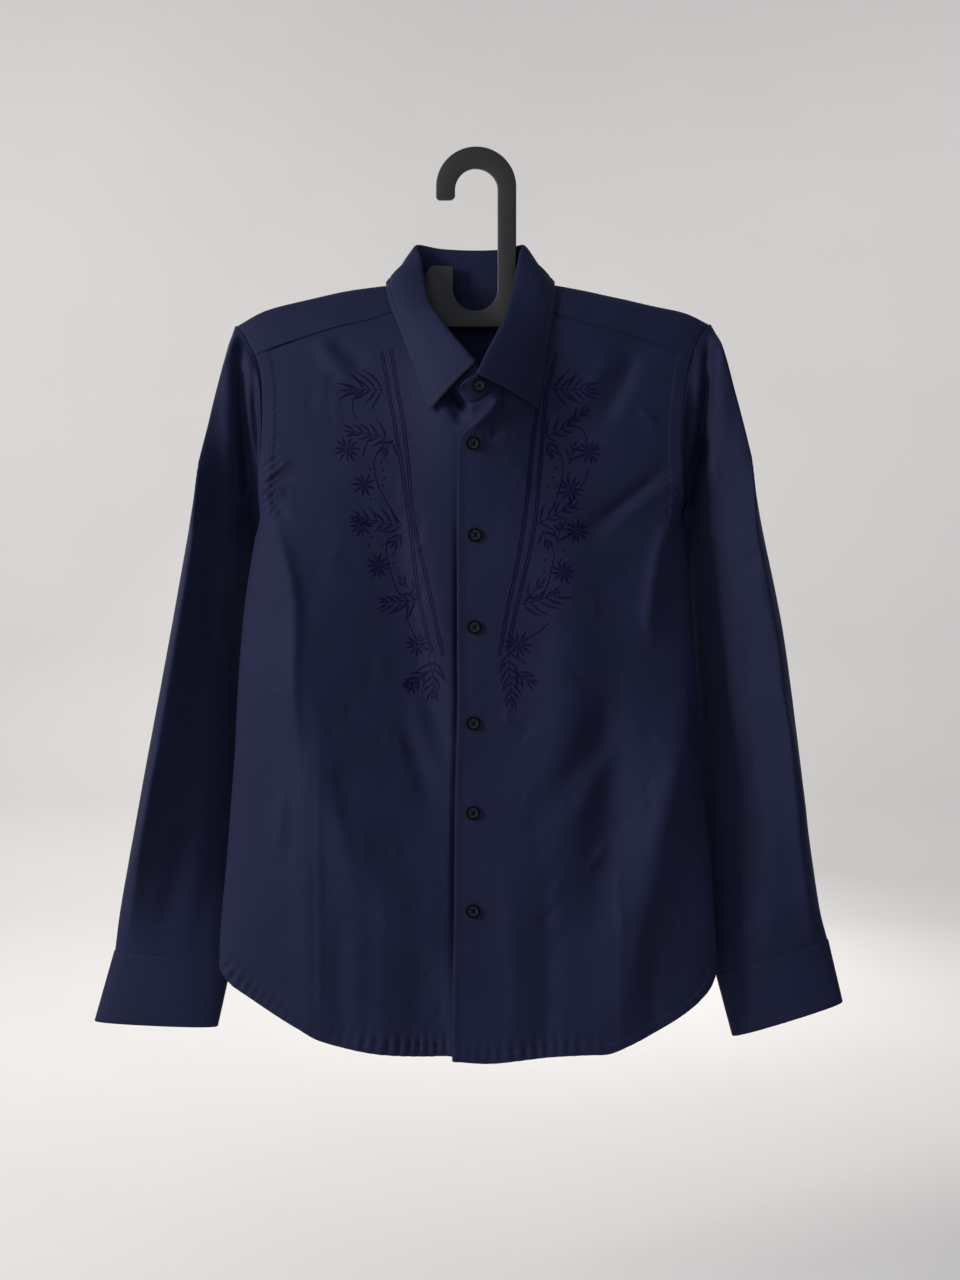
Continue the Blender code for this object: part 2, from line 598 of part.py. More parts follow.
# Fold, neck seam and leaf edge of the collar, from the button end round the back to the
# buttonhole end
def collar_sections():
    rows = []
    for side, table in (("right", COLLAR_RIGHT), ("left", COLLAR_LEFT)):
        way = SIDES[side][0]
        part = []
        for face, fold, neck, edge in table:
            f = Vector((way * fold[0], fold[1], fold[2]))
            where = "back" if face == "back" else "front"
            n = neck_point(side, face, neck)
            e = on_body(way * edge[0], edge[1], where)
            if face == "ridge":
                e.y = -0.001
            e.y += edge[2] if face == "back" else -edge[2]
            if side == "left" and face == "front":
                n.y -= ride_front(n.x)
                e.y -= ride_front(edge[0])
            part.append((f, n, e))
        rows += reversed(part) if side == "right" else part[1:]
    return rows


def build_collar():
    rows = collar_sections()
    shares = [i / (len(rows) - 1) for i in range(len(rows))]
    steps = even(2 * (len(rows) - 1))
    tables = []
    for which in range(3):
        line = [(s, *row[which]) for s, row in zip(shares, rows)]
        tables.append([Vector([read(line, t, c) for c in (1, 2, 3)]) for t in steps])
    folds, necks, edges = tables

    band_f, band_n = list(folds), list(necks)
    for way, table, first in ((-1, BAND_END_RIGHT, True), (1, BAND_END_LEFT, False)):
        for fold, neck in table:
            f = Vector((way * fold[0], fold[1], fold[2]))
            n = on_body(way * neck[0], neck[1], "front")
            if not first:
                n.y -= LAP
            band_f.insert(0, f) if first else band_f.append(f)
            band_n.insert(0, n) if first else band_n.append(n)
    lines = []
    for f, n in zip(band_f, band_n):
        rise = (f - n).normalized()
        foot = n + rise * 0.0016
        head = f - rise * 0.0017
        lines.append([foot, foot.lerp(head, 0.5), head])
    sheet("collar_stand", lines)

    lines = []
    for i, (f, n, e) in enumerate(zip(folds, necks, edges)):
        rise = (f - n).normalized()
        fall = (e - f).normalized()
        run = folds[min(i + 1, len(folds) - 1)] - folds[max(i - 1, 0)]
        out = rise.cross(run).normalized()
        out = out if out.dot(e - f) > 0 else -out
        face = out - fall * out.dot(fall)
        face.normalize()
        start = f + out * 0.0036 - rise * 0.0016
        line = [f - rise * 0.0002, f + out * 0.0015 + rise * 0.0014, start]
        for t in (0.2, 0.4, 0.6, 0.8, 1.0):
            line.append(start.lerp(e, t) + face * (0.0026 * math.sin(math.pi * t)))
        lines.append(line)
    sheet("collar_leaf", lines)


# A ring round a sleeve or cuff. Angle 0 is the outer edge, a quarter turn is the front.
def sleeve_ring(way, row, angles):
    xo, yo, zo, xi, yi, zi, front, back = row
    outer = Vector((way * xo, yo, zo))
    inner = Vector((way * xi, yi, zi))
    mid = (outer + inner) / 2
    ring = []
    for a in angles:
        c, s = math.cos(a), math.sin(a)
        cc = math.copysign(abs(c) ** 0.86, c)
        ss = math.copysign(abs(s) ** 0.86, s)
        p = mid + (outer - mid) * cc
        p.y += -front * ss if s > 0 else -back * ss
        ring.append(p)
    return ring


def armhole_ring(side, angles):
    way, table = SIDES[side][:2]
    lines = {}
    for face, col in (("front", 1), ("back", 2)):
        line = []
        for drop in [0.0, 0.001, 0.003, 0.006, 0.011, 0.018, 0.026, 0.036]:
            x, z = armhole_at(side, drop, face)
            line.append(on_body(way * x, z, face))
        low = line[-1].z
        for t in even(8)[1:]:
            z = lerp(low, -0.3210, t)
            line.append(on_body(way * read(table, z, col), z, face))
        line[-1].y = read(DEPTH, -0.3210, 3)
        lines[face] = line
    ring = []
    for a in angles:
        turn = a % (2 * math.pi)
        face = "front" if turn <= math.pi else "back"
        share = turn / math.pi if face == "front" else 2 - turn / math.pi
        ring.append(trace(lines[face], [share])[0])
    return ring


def sleeve_points(side, table, shares, angles):
    way = SIDES[side][0]
    hole = armhole_ring(side, angles)
    start = sleeve_ring(way, [read(table, 0.0, c) for c in range(1, 9)], angles)
    rows = []
    for share in shares:
        ring = sleeve_ring(way, [read(table, share, c) for c in range(1, 9)], angles)
        keep = 1.0 - ease(share / 0.30)
        line = []
        for p, h, s in zip(ring, hole, start):
            spot = p + (h - s) * keep
            spot.x += way * SLEEVE_OFF
            if spot.y < 0.5 * (ring[0].y + ring[-1].y):
                calm = ease(share / 0.03) * ease((1.0 - share) / 0.08)
                spot.y -= fold_height(SLEEVE_FOLDS, side, spot.x, spot.z) * calm
            line.append(spot)
        rows.append(line)
    return rows


def build_sleeve(side, table, cuff):
    way = SIDES[side][0]
    count = 22
    angles = [2 * math.pi * i / count for i in range(count)]
    shares = [0.0, 0.015, 0.04, 0.07, 0.11, 0.15, 0.19, 0.24, 0.29, 0.34, 0.40, 0.46]
    shares += [0.52, 0.58, 0.64, 0.70, 0.76, 0.82, 0.88, 0.94, 1.0]
    sheet("sleeve_" + side, sleeve_points(side, table, shares, angles), loop=True)

    # The cuff is a strip that laps over itself at the back
    top = [read(table, 1.0, c) for c in range(1, 9)]
    steps = [math.radians(235 + 412 * t) for t in even(30)]
    rows = []
    for t in (0.0, 0.5, 1.0):
        row = [lerp(a, b, t) for a, b in zip(top, cuff)]
        ring = sleeve_ring(way, row, steps)
        mid = sum(ring[:26], Vector()) / 26
        line = []
        for n, p in enumerate(ring):
            p.x += way * SLEEVE_OFF
            p.z -= 0.0007 * (1 - t)
            lift = 0.0021 * ease((n - 24) / 2.0)
            p.y += lift if p.y > mid.y else -lift
            line.append(p)
        rows.append(line)
    sheet("cuff_" + side, rows)

    # A stitched strip closes the slit above the cuff, on the back of the sleeve
    turns = [math.radians(a) for a in (238, 247, 256)]
    strip = sleeve_points(side, table, [0.76, 0.80, 0.84, 0.88, 0.92, 0.96, 0.992], turns)
    for line in strip:
        for p in line:
            p.y += 0.0022
    sheet("sleeve_placket_" + side, strip)

    row = [lerp(a, b, 0.5) for a, b in zip(top, cuff)]
    spot = sleeve_ring(way, row, [math.radians(268)])[0]
    spot.x += way * SLEEVE_OFF
    spot.y += 0.0021 + WALL / 2 + 0.0004
    build_button("cuff_button_" + side, spot, Vector((0, 1, 0)), BUTTON_R * 0.92)


# A round button with a raised rim and four holes, its back on the given spot
def build_button(name, spot, normal, radius):
    count = 20
    holes = 6
    thick = BUTTON_THICK
    side = Vector((0, 0, 1)).cross(normal).normalized()
    up = normal.cross(side)

    def at(x, y, h):
        return spot + side * x + up * y + normal * h

    inner = radius * 0.74
    turns = [2 * math.pi * i / count for i in range(count)]
    ring = [(math.cos(a), math.sin(a)) for a in turns]
    flat = [Vector((c * inner, s * inner)) for c, s in ring]
    loops = [list(range(count))]
    for qx, qy in ((1, 1), (-1, 1), (-1, -1), (1, -1)):
        start = len(flat)
        for k in range(holes):
            a = -2 * math.pi * k / holes
            hx = qx * radius * 0.24 + math.cos(a) * radius * 0.125
            hy = qy * radius * 0.24 + math.sin(a) * radius * 0.125
            flat.append(Vector((hx, hy)))
        loops.append(list(range(start, start + holes)))
    edges = []
    for loop in loops:
        edges += list(zip(loop, loop[1:] + loop[:1]))
    tri = geometry.delaunay_2d_cdt(flat, edges, [], 0, 1e-9)[2]
    keep = []
    for face in tri:
        owner = [next(n for n, loop in enumerate(loops) if i in loop) for i in face]
        if owner[0] > 0 and owner.count(owner[0]) == 3:
            continue
        keep.append(tuple(face))
    # Rows of the profile: share of the radius, height
    profile = [(0.74, thick * 0.66), (0.84, thick), (0.94, thick), (1.0, thick * 0.72)]
    profile += [(1.0, thick * 0.35), (0.86, 0.0), (0.74, 0.0)]
    verts = []
    starts = []
    for share, height in profile:
        starts.append(len(verts))
        verts += [at(c * radius * share, s * radius * share, height) for c, s in ring]
    hole_top = len(verts)
    verts += [at(p.x, p.y, thick * 0.66) for p in flat[count:]]
    hole_low = len(verts)
    verts += [at(p.x, p.y, 0.0) for p in flat[count:]]
    faces = []
    for a, b in zip(starts, starts[1:]):
        for i in range(count):
            k = (i + 1) % count
            faces.append((a + i, a + k, b + k, b + i))
    for face in keep:
        faces.append(tuple(i if i < count else hole_top + i - count for i in face))
        low = [starts[-1] + i if i < count else hole_low + i - count for i in face]
        faces.append(tuple(reversed(low)))
    for loop in loops[1:]:
        for i, k in zip(loop, loop[1:] + loop[:1]):
            faces.append((hole_top + i - count, hole_top + k - count,
                          hole_low + k - count, hole_low + i - count))
    add_mesh(name, verts, faces, HORN)


def build_front_buttons():
    for n, (x, z) in enumerate(BUTTONS):
        spot = on_body(x, z, "front")
        slope = (body_y(x, z + 0.004, "front") - body_y(x, z - 0.004, "front")) / 0.008
        normal = Vector((0, -1, slope)).normalized()
        spot.y -= LAP
        spot += normal * (WALL / 2 + 0.0005)
        build_button("button_%d" % (n + 2), spot, normal, BUTTON_R)
    x, z = COLLAR_BUTTON
    normal = Vector((0, -1, 0.12)).normalized()
    spot = Vector((x, -0.0715, z)) + normal * (WALL / 2 - 0.0008)
    build_button("button_1", spot, normal, BUTTON_R * 0.95)


# The hanger is one flat moulding: hook, stem, a bar with a notch, and two arms
def build_hanger():
    outline = []

    def arc(cx, cz, r, start, end, steps):
        for i in range(steps + 1):
            a = math.radians(lerp(start, end, i / steps))
            outline.append(Vector((cx + r * math.cos(a), cz + r * math.sin(a))))

    arc(0.0002, -0.0197, HOOK_INNER, 180, 0, 16)
    outline.append(Vector((0.0199, -0.1115)))
    arc(-0.0006, -0.1115, 0.0205, -18, -162, 8)
    outline += [Vector(p) for p in STEM_RIGHT]
    outline += [Vector((x, read(RIDGE, x) - drop)) for x, drop in ARM_TOP_RIGHT]
    outline += [Vector(p) for p in ARM_BOTTOM]
    outline += [Vector((x, read(RIDGE, x) - drop)) for x, drop in ARM_TOP_LEFT]
    outline += [Vector(p) for p in STEM_LEFT]
    arc(0.0001, -0.0168, 0.0373, 0, 180, 22)
    arc(-0.0332, -0.0250, 0.0042, 180, 270, 3)
    arc(-0.0237, -0.0250, 0.0042, 270, 360, 3)
    half = HANGER_THICK / 2
    inset = 0.0007
    count = len(outline)
    small = []
    for i, p in enumerate(outline):
        a, b = outline[i - 1], outline[(i + 1) % count]
        way = (b - a).normalized()
        small.append(p + Vector((way.y, -way.x)) * inset)
    turn = sum(a.x * b.y - a.y * b.x for a, b in zip(outline, outline[1:] + outline[:1]))
    if turn > 0:
        small = [p * 2 - s for p, s in zip(outline, small)]
    verts = []
    for pts, y in ((small, -half), (outline, -half + inset), (outline, half - inset), (small, half)):
        verts += [Vector((p.x, y, p.y)) for p in pts]
    faces = []
    for level in range(3):
        for i in range(count):
            k = (i + 1) % count
            base = level * count
            faces.append((base + i, base + k, base + count + k, base + count + i))
    edges = [(i, (i + 1) % count) for i in range(count)]
    tri = geometry.delaunay_2d_cdt(small, edges, [], 1, 1e-9)[2]
    for face in tri:
        faces.append(tuple(face))
        faces.append(tuple(3 * count + i for i in reversed(face)))
    made = add_mesh("hanger", verts, faces, PLASTIC)
    for poly in made.data.polygons:
        poly.use_smooth = False


build_hanger()
build_yoke()
build_back()
build_front("right")
build_front("left")
build_collar()
build_sleeve("left", SLEEVE_LEFT, CUFF_LEFT)
build_sleeve("right", SLEEVE_RIGHT, CUFF_RIGHT)
build_front_buttons()
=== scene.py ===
# Looks for the embroidered shirt on its flat hanger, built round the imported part.
# Metres, +X is the wearer's left, -Y the front, +Z up. Tables of creases are in millimetres.
import math
import random

import bmesh
import bpy
import numpy as np
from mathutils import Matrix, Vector, geometry
from mathutils.bvhtree import BVHTree


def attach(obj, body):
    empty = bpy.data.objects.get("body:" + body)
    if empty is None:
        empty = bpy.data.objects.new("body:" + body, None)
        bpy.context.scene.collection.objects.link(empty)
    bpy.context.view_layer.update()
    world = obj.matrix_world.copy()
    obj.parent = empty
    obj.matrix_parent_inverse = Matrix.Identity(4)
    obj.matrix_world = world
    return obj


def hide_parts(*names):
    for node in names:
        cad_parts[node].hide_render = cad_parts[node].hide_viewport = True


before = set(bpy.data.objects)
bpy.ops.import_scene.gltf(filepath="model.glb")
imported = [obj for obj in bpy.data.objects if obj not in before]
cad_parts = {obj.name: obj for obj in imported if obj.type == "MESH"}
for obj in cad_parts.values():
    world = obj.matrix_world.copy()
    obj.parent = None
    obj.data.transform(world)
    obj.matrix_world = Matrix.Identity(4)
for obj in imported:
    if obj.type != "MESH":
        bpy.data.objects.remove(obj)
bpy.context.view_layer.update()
mm = 0.001
print("frame loaded:", len(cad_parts), "nodes")

# What the photograph was taken with: the eye in the row frame and the focal length in its pixels
photo = {"height": 1280, "eye": (0.0037, -1.5, -0.438), "focalPixels": 1613}

# The body that the shirt's pieces are cut from, as in the part's source
body = {
    "edgePower": 2.8, "frontRoll": 0.100, "backRoll": 0.030, "sideGap": 0.0002,
    "lap": 0.0021, "neckBulge": 0.025, "neckSpread": (0.052, 0.070), "neckLevel": -0.215,
    "backSeamZ": -0.190, "sleeveOff": 0.0014, "underarmZ": -0.3210, "armholeTopZ": -0.1560,
    "sideCalm": 0.014,
    "yokeSink": 0.0009, "yokeSinkReach": 0.0035, "turnSoft": 0.0008, "turnInside": 0.0004,
}
# Shoulder line seen from the front: x, z
shoulderLine = [
    (-0.2222, -0.1463), (-0.1951, -0.1318), (-0.1582, -0.1226), (-0.1169, -0.1138),
    (-0.0843, -0.1090), (-0.0620, -0.1085), (0.0, -0.1040), (0.0600, -0.1085),
    (0.0744, -0.1090), (0.1014, -0.1138), (0.1312, -0.1205), (0.1654, -0.1278),
    (0.1938, -0.1338), (0.2166, -0.1449),
]
# Half width: z, on the +X side, on the -X side
halfWidth = [
    (-0.830, 0.2120, 0.2230), (-0.7525, 0.2195, 0.2335), (-0.736, 0.2212, 0.2358),
    (-0.716, 0.2210, 0.2358), (-0.690, 0.2193, 0.2340), (-0.640, 0.2163, 0.2295),
    (-0.590, 0.2113, 0.2257), (-0.539, 0.2075, 0.2219), (-0.493, 0.2045, 0.2198),
    (-0.434, 0.2003, 0.2157), (-0.402, 0.1980, 0.2125), (-0.373, 0.1952, 0.2082),
    (-0.344, 0.1918, 0.2032), (-0.321, 0.1885, 0.1985), (-0.290, 0.2035, 0.2120),
    (-0.250, 0.2140, 0.2220), (-0.200, 0.2220, 0.2290), (-0.150, 0.2300, 0.2360),
    (-0.100, 0.2340, 0.2400),
]
# How far front and back stand from the side seams, and y of the seams: z, front, back, y
bodyDepth = [
    (-0.83, 0.0250, 0.0190, -0.012), (-0.60, 0.0275, 0.0200, -0.012),
    (-0.40, 0.0300, 0.0210, -0.012), (-0.32, 0.0295, 0.0210, -0.012),
    (-0.25, 0.0290, 0.0180, -0.009), (-0.17, 0.0300, 0.0150, -0.003),
    (-0.14, 0.0300, 0.0150, -0.002),
]
# Each side's seams. Armhole: z, x of its front edge, x of its back edge; the rest: x, z
sides = {
    "left": {
        "way": 1, "neckTop": 0.0605,
        "armhole": [
            (-0.3210, 0.1878, 0.1878), (-0.3055, 0.1890, 0.1890), (-0.2916, 0.1885, 0.1895),
            (-0.2637, 0.1871, 0.1900), (-0.2359, 0.1878, 0.1910), (-0.2080, 0.1912, 0.1935),
            (-0.1801, 0.1969, 0.1990), (-0.1662, 0.2038, 0.2050), (-0.1538, 0.2108, 0.2110),
            (-0.1449, 0.2166, 0.2166),
        ],
        "yoke": [
            (0.0580, -0.1335), (0.0733, -0.1383), (0.1098, -0.1495), (0.1518, -0.1608),
            (0.1868, -0.1737), (0.1983, -0.1768),
        ],
        "hem": [
            (-0.0207, -0.8191), (0.0121, -0.8211), (0.0413, -0.8184), (0.0737, -0.8154),
            (0.1062, -0.8138), (0.1191, -0.8133), (0.1305, -0.8096), (0.1630, -0.7943),
            (0.1954, -0.7749), (0.2130, -0.7590), (0.2207, -0.7440),
        ],
        "edge": [
            (-0.0046, -0.2300), (-0.0048, -0.2440), (-0.0146, -0.2590), (-0.0165, -0.2850),
            (-0.0165, -0.4560), (-0.0163, -0.5099), (-0.0183, -0.5818), (-0.0192, -0.6717),
            (-0.0201, -0.7437), (-0.0207, -0.8191),
        ],
        "neck": [
            (-0.0046, -0.2294), (0.0041, -0.2252), (0.0154, -0.2151), (0.0240, -0.2050),
            (0.0360, -0.1870), (0.0460, -0.1690), (0.0530, -0.1540), (0.0580, -0.1335),
        ],
    },
    "right": {
        "way": -1, "neckTop": 0.0630,
        "armhole": [
            (-0.3210, 0.1978, 0.1978), (-0.3055, 0.1982, 0.1980), (-0.2846, 0.1973, 0.1980),
            (-0.2567, 0.1952, 0.1982), (-0.2289, 0.1945, 0.1990), (-0.2011, 0.1959, 0.2015),
            (-0.1801, 0.2003, 0.2060), (-0.1662, 0.2091, 0.2110), (-0.1551, 0.2154, 0.2160),
            (-0.1463, 0.2222, 0.2222),
        ],
        "yoke": [
            (0.0620, -0.1330), (0.0788, -0.1383), (0.1039, -0.1460), (0.1362, -0.1537),
            (0.1670, -0.1635), (0.1964, -0.1737), (0.2020, -0.1768),
        ],
        "hem": [
            (-0.0130, -0.8165), (0.0216, -0.8157), (0.0457, -0.8160), (0.0759, -0.8142),
            (0.1060, -0.8099), (0.1422, -0.8007), (0.1602, -0.7911), (0.1813, -0.7791),
            (0.2084, -0.7625), (0.2265, -0.7510), (0.2350, -0.7400),
        ],
        "edge": [
            (-0.0130, -0.2290), (-0.0130, -0.4000), (-0.0130, -0.6000), (-0.0130, -0.8165),
        ],
        "neck": [
            (-0.0130, -0.2284), (0.0050, -0.2262), (0.0150, -0.2165), (0.0260, -0.2040),
            (0.0400, -0.1850), (0.0500, -0.1680), (0.0580, -0.1500), (0.0620, -0.1330),
        ],
    },
}
# Back of the neck: x, how far the neck seam lies below the shoulder line
neckBack = [(0.0, 0.0080), (0.030, 0.0072), (0.048, 0.0052), (0.060, 0.0022)]

# Large soft folds of the part: face, x and z of the two ends, half width, height
largeFolds = [
    ("front", -0.190, -0.315, -0.170, -0.480, 0.020, 0.0030),
    ("front", -0.165, -0.500, -0.165, -0.780, 0.028, 0.0030),
    ("front", -0.110, -0.560, -0.100, -0.760, 0.030, -0.0028),
    ("front", 0.145, -0.175, 0.100, -0.245, 0.018, -0.0026),
    ("front", 0.170, -0.285, 0.110, -0.335, 0.012, -0.0024),
    ("front", 0.185, -0.320, 0.155, -0.420, 0.018, 0.0028),
    ("front", 0.120, -0.500, 0.070, -0.590, 0.022, -0.0026),
    ("front", 0.185, -0.530, 0.160, -0.680, 0.022, 0.0026),
    ("back", -0.150, -0.300, -0.120, -0.760, 0.030, 0.0026),
    ("back", 0.140, -0.320, 0.125, -0.740, 0.030, 0.0026),
    ("back", 0.020, -0.400, 0.010, -0.780, 0.035, -0.0026),
    ("left", 0.214, -0.170, 0.207, -0.262, 0.0065, -0.0090),
    ("left", 0.207, -0.262, 0.196, -0.318, 0.0060, -0.0070),
    ("left", 0.262, -0.385, 0.276, -0.480, 0.011, 0.0026),
    ("left", 0.284, -0.500, 0.300, -0.590, 0.010, 0.0030),
    ("right", -0.217, -0.175, -0.214, -0.290, 0.0060, -0.0060),
    ("right", -0.226, -0.200, -0.227, -0.330, 0.0070, 0.0030),
    ("right", -0.228, -0.345, -0.226, -0.480, 0.0100, 0.0026),
    ("right", -0.257, -0.330, -0.276, -0.470, 0.0100, 0.0028),
    ("right", -0.284, -0.510, -0.310, -0.630, 0.0100, 0.0028),
]


def ease(t):
    t = min(1.0, max(0.0, t))
    return t * t * (3.0 - 2.0 * t)


def lerp(a, b, t):
    return a + (b - a) * t


def even(count):
    return [i / count for i in range(count + 1)]


# Weights of a smooth curve's ends and slopes
def hermite(t):
    return 2 * t ** 3 - 3 * t ** 2 + 1, t ** 3 - 2 * t ** 2 + t, t ** 3 - t ** 2


# A value read from a table with a smooth curve through its rows
def readTable(table, key, col=1):
    rows = sorted(table)
    if key <= rows[0][0]:
        return rows[0][col]
    if key >= rows[-1][0]:
        return rows[-1][col]
    i = next(n for n in range(len(rows) - 1) if rows[n + 1][0] >= key)
    x0, x1 = rows[i][0], rows[i + 1][0]
    y0, y1 = rows[i][col], rows[i + 1][col]
    span = x1 - x0
    slope = (y1 - y0) / span
    before = slope if i == 0 else (y1 - rows[i - 1][col]) / (x1 - rows[i - 1][0])
    last = i + 2 >= len(rows)
    after = slope if last else (rows[i + 2][col] - y0) / (rows[i + 2][0] - x0)
    t = (key - x0) / span
    a, b, c = hermite(t)
    return a * y0 + b * span * before + (1 - a) * y1 + c * span * after


# Length gone at each point of a path
def runOf(points):
    run = [0.0]
    for a, b in zip(points, points[1:]):
        run.append(run[-1] + (b - a).length)
    return run


# Points along a smooth curve through the given ones, at the given shares of its length
def tracePath(points, shares):
    pts = [Vector(p) for p in points]
    dense = []
    for i in range(len(pts) - 1):
        p0 = pts[i - 1] if i else pts[i] * 2 - pts[i + 1]
        p3 = pts[i + 2] if i + 2 < len(pts) else pts[i + 1] * 2 - pts[i]
        p1, p2 = pts[i], pts[i + 1]
        span = (p2 - p1).length
        m1 = (p2 - p0) * (span / (span + (p1 - p0).length))
        m2 = (p3 - p1) * (span / (span + (p3 - p2).length))
        for k in range(12):
            t = k / 12
            a, b, c = hermite(t)
            dense.append(p1 * a + m1 * b + p2 * (1 - a) + m2 * c)
    dense.append(pts[-1])
    run = runOf(dense)
    out = []
    i = 0
    for share in shares:
        want = min(share, 1.0) * run[-1]
        if want < run[i]:
            i = 0
        while i < len(run) - 2 and run[i + 1] < want:
            i += 1
        step = run[i + 1] - run[i]
        out.append(dense[i].lerp(dense[i + 1], (want - run[i]) / step if step else 0.0))
    return out


def pathLength(points):
    return runOf(points)[-1]


def sharesOf(points):
    run = runOf(points)
    return [r / run[-1] for r in run]


# Shares that step finely near both ends of a length and evenly between
def gradedShares(length, step, fineStart, fineEnd, fineStep):
    at = 0.0
    places = [0.0]
    while at < length - 1e-6:
        near = at < fineStart or at > length - fineEnd - fineStep
        at += fineStep if near else step
        places.append(at)
    return [p / places[-1] for p in places]


# A sheet of points between four edges, top and bottom running outwards
def fillSheet(top, bottom, inner, outer, us, vs):
    rows = []
    for j, v in enumerate(vs):
        row = []
        for i, u in enumerate(us):
            flat = top[i].lerp(bottom[i], v) + inner[j].lerp(outer[j], u)
            corners = top[0].lerp(top[-1], u).lerp(bottom[0].lerp(bottom[-1], u), v)
            row.append(flat - corners)
        rows.append(row)
    return rows


def largeFoldHeight(face, x, z):
    total = 0.0
    for name, x0, z0, x1, z1, half, height in largeFolds:
        if name != face:
            continue
        run = Vector((x1 - x0, z1 - z0))
        gone = Vector((x - x0, z - z0))
        along = gone.dot(run) / run.length_squared
        over = max(0.0, -along, along - 1.0) * run.length / (half * 1.6)
        off = abs(gone.x * run.y - gone.y * run.x) / run.length / half
        total += height * math.exp(-off * off - over * over)
    return total


# Depth of the body at a point of the front view, on its front or its back
def bodyY(x, z, face):
    u = min(1.0, abs(x) / readTable(halfWidth, z, 1 if x >= 0 else 2))
    shape = (1.0 - u ** body["edgePower"]) ** (1.0 / body["edgePower"])
    sideY = readTable(bodyDepth, z, 3)
    drop = max(0.0, readTable(shoulderLine, x) - z)
    if face == "front":
        off = Vector((x / body["neckSpread"][0], (z - body["neckLevel"]) / body["neckSpread"][1]))
        deep = readTable(bodyDepth, z, 1) + body["neckBulge"] * math.exp(-off.length_squared)
        reach = sideY - deep * shape - largeFoldHeight("front", x, z) * shape
        roll = min(1.0, drop / body["frontRoll"])
    else:
        reach = sideY + readTable(bodyDepth, z, 2) * shape
        reach += largeFoldHeight("back", x, z) * shape
        roll = min(1.0, drop / body["backRoll"])
    gap = body["sideGap"] * (1.0 - shape) * (-1 if face == "front" else 1)
    return reach * math.sqrt(1.0 - (1.0 - roll) ** 2) + gap * roll


def onBody(x, z, face):
    return Vector((x, bodyY(x, z, face), z))


def rideFront(x):
    return body["lap"] * ease((0.070 - x) / 0.045)


# Distance across and along a line for many points at once: signed distance, run, length
def placeOnLine(line, x, z):
    best = np.full(x.shape, 1e9)
    across = np.zeros(x.shape)
    along = np.zeros(x.shape)
    gone = 0.0
    for (ax, az), (bx, bz) in zip(line, line[1:]):
        rx, rz = bx - ax, bz - az
        long = math.hypot(rx, rz)
        t = np.clip(((x - ax) * rx + (z - az) * rz) / (long * long), 0.0, 1.0)
        dx, dz = x - ax - rx * t, z - az - rz * t
        d = np.hypot(dx, dz)
        near = d < best
        best = np.where(near, d, best)
        across = np.where(near, np.where(rx * dz - rz * dx >= 0, d, -d), across)
        along = np.where(near, gone + t * long, along)
        gone += long
    return across, along, gone


# Listed creases: height, reach on the left of the line going down, reach on the right,
# sharpness (2 soft, 1 pressed), the line as x, z. All in millimetres.
def creaseHeight(creases, x, z):
    total = np.zeros(x.shape)
    for height, reachLeft, reachRight, sharpness, line in creases:
        smooth = [tuple(p) for p in tracePath([(a * mm, b * mm) for a, b in line], even(10))]
        across, along, length = placeOnLine(smooth, x, z)
        reach = np.where(across < 0, reachLeft, reachRight) * mm
        fade = np.minimum(along, length - along) / (0.32 * length)
        fade = np.clip(fade, 0.0, 1.0)
        fade = fade * fade * (3 - 2 * fade)
        total += height * mm * fade * np.exp(-(np.abs(across) / reach) ** sharpness)
    return total


# Gathers that run across a stitched line: line, height, spacing, reach to each side, seed
def puckerHeight(line, height, spacing, reach, seed, x, z, slant=0.0):
    across, along, _ = placeOnLine(line, x, z)
    along = along + slant * across
    sway = np.sin(along / (spacing * 2.7) + seed) * 1.4 + np.sin(along / (spacing * 1.31) + 2 * seed)
    wave = np.sin(2 * math.pi * along / spacing + sway)
    strength = 0.55 + 0.45 * np.sin(along / (spacing * 3.3) + 3 * seed)
    return height * wave * strength * np.exp(-(across / reach) ** 2)


# Slow unevenness that pressed cloth keeps
def restless(x, z, seed, height):
    total = np.sin(x * 37 + z * 11 + seed) * np.sin(z * 29 - x * 9 + 2 * seed)
    total = total + 0.6 * np.sin(x * 71 - z * 33 + 3 * seed) * np.sin(z * 58 + seed)
    total = total + 0.35 * np.sin(x * 130 + z * 60 + seed) * np.sin(z * 97 - x * 40 + 5 * seed)
    return total * height


# Materials

def newLook(name):
    made = bpy.data.materials.new(name)
    made.use_nodes = True
    return made, made.node_tree.nodes, made.node_tree.links, made.node_tree.nodes["Principled BSDF"]


def mixColour(nodes, links, factor, first, second):
    mix = nodes.new("ShaderNodeMix")
    mix.data_type = "RGBA"
    mix.inputs["A"].default_value = (*first, 1.0)
    mix.inputs["B"].default_value = (*second, 1.0)
    links.new(factor, mix.inputs["Factor"])
    return mix.outputs["Result"]


def noiseAt(nodes, links, coords, scale, detail=2.0, rough=0.5):
    made = nodes.new("ShaderNodeTexNoise")
    made.inputs["Scale"].default_value = scale
    made.inputs["Detail"].default_value = detail
    made.inputs["Roughness"].default_value = rough
    links.new(coords, made.inputs["Vector"])
    return made.outputs["Fac"]


def bumpFrom(nodes, links, height, strength, distance, under=None):
    made = nodes.new("ShaderNodeBump")
    made.inputs["Strength"].default_value = strength
    made.inputs["Distance"].default_value = distance
    links.new(height, made.inputs["Height"])
    if under is not None:
        links.new(under, made.inputs["Normal"])
    return made.outputs["Normal"]


clothFinish = {
    "dark": (0.0076, 0.0097, 0.0292), "lit": (0.0115, 0.0147, 0.0443), "rough": 0.70,
    "sheen": 0.02, "sheenTint": (0.30, 0.36, 0.85), "twillPitch": 0.00055,
}


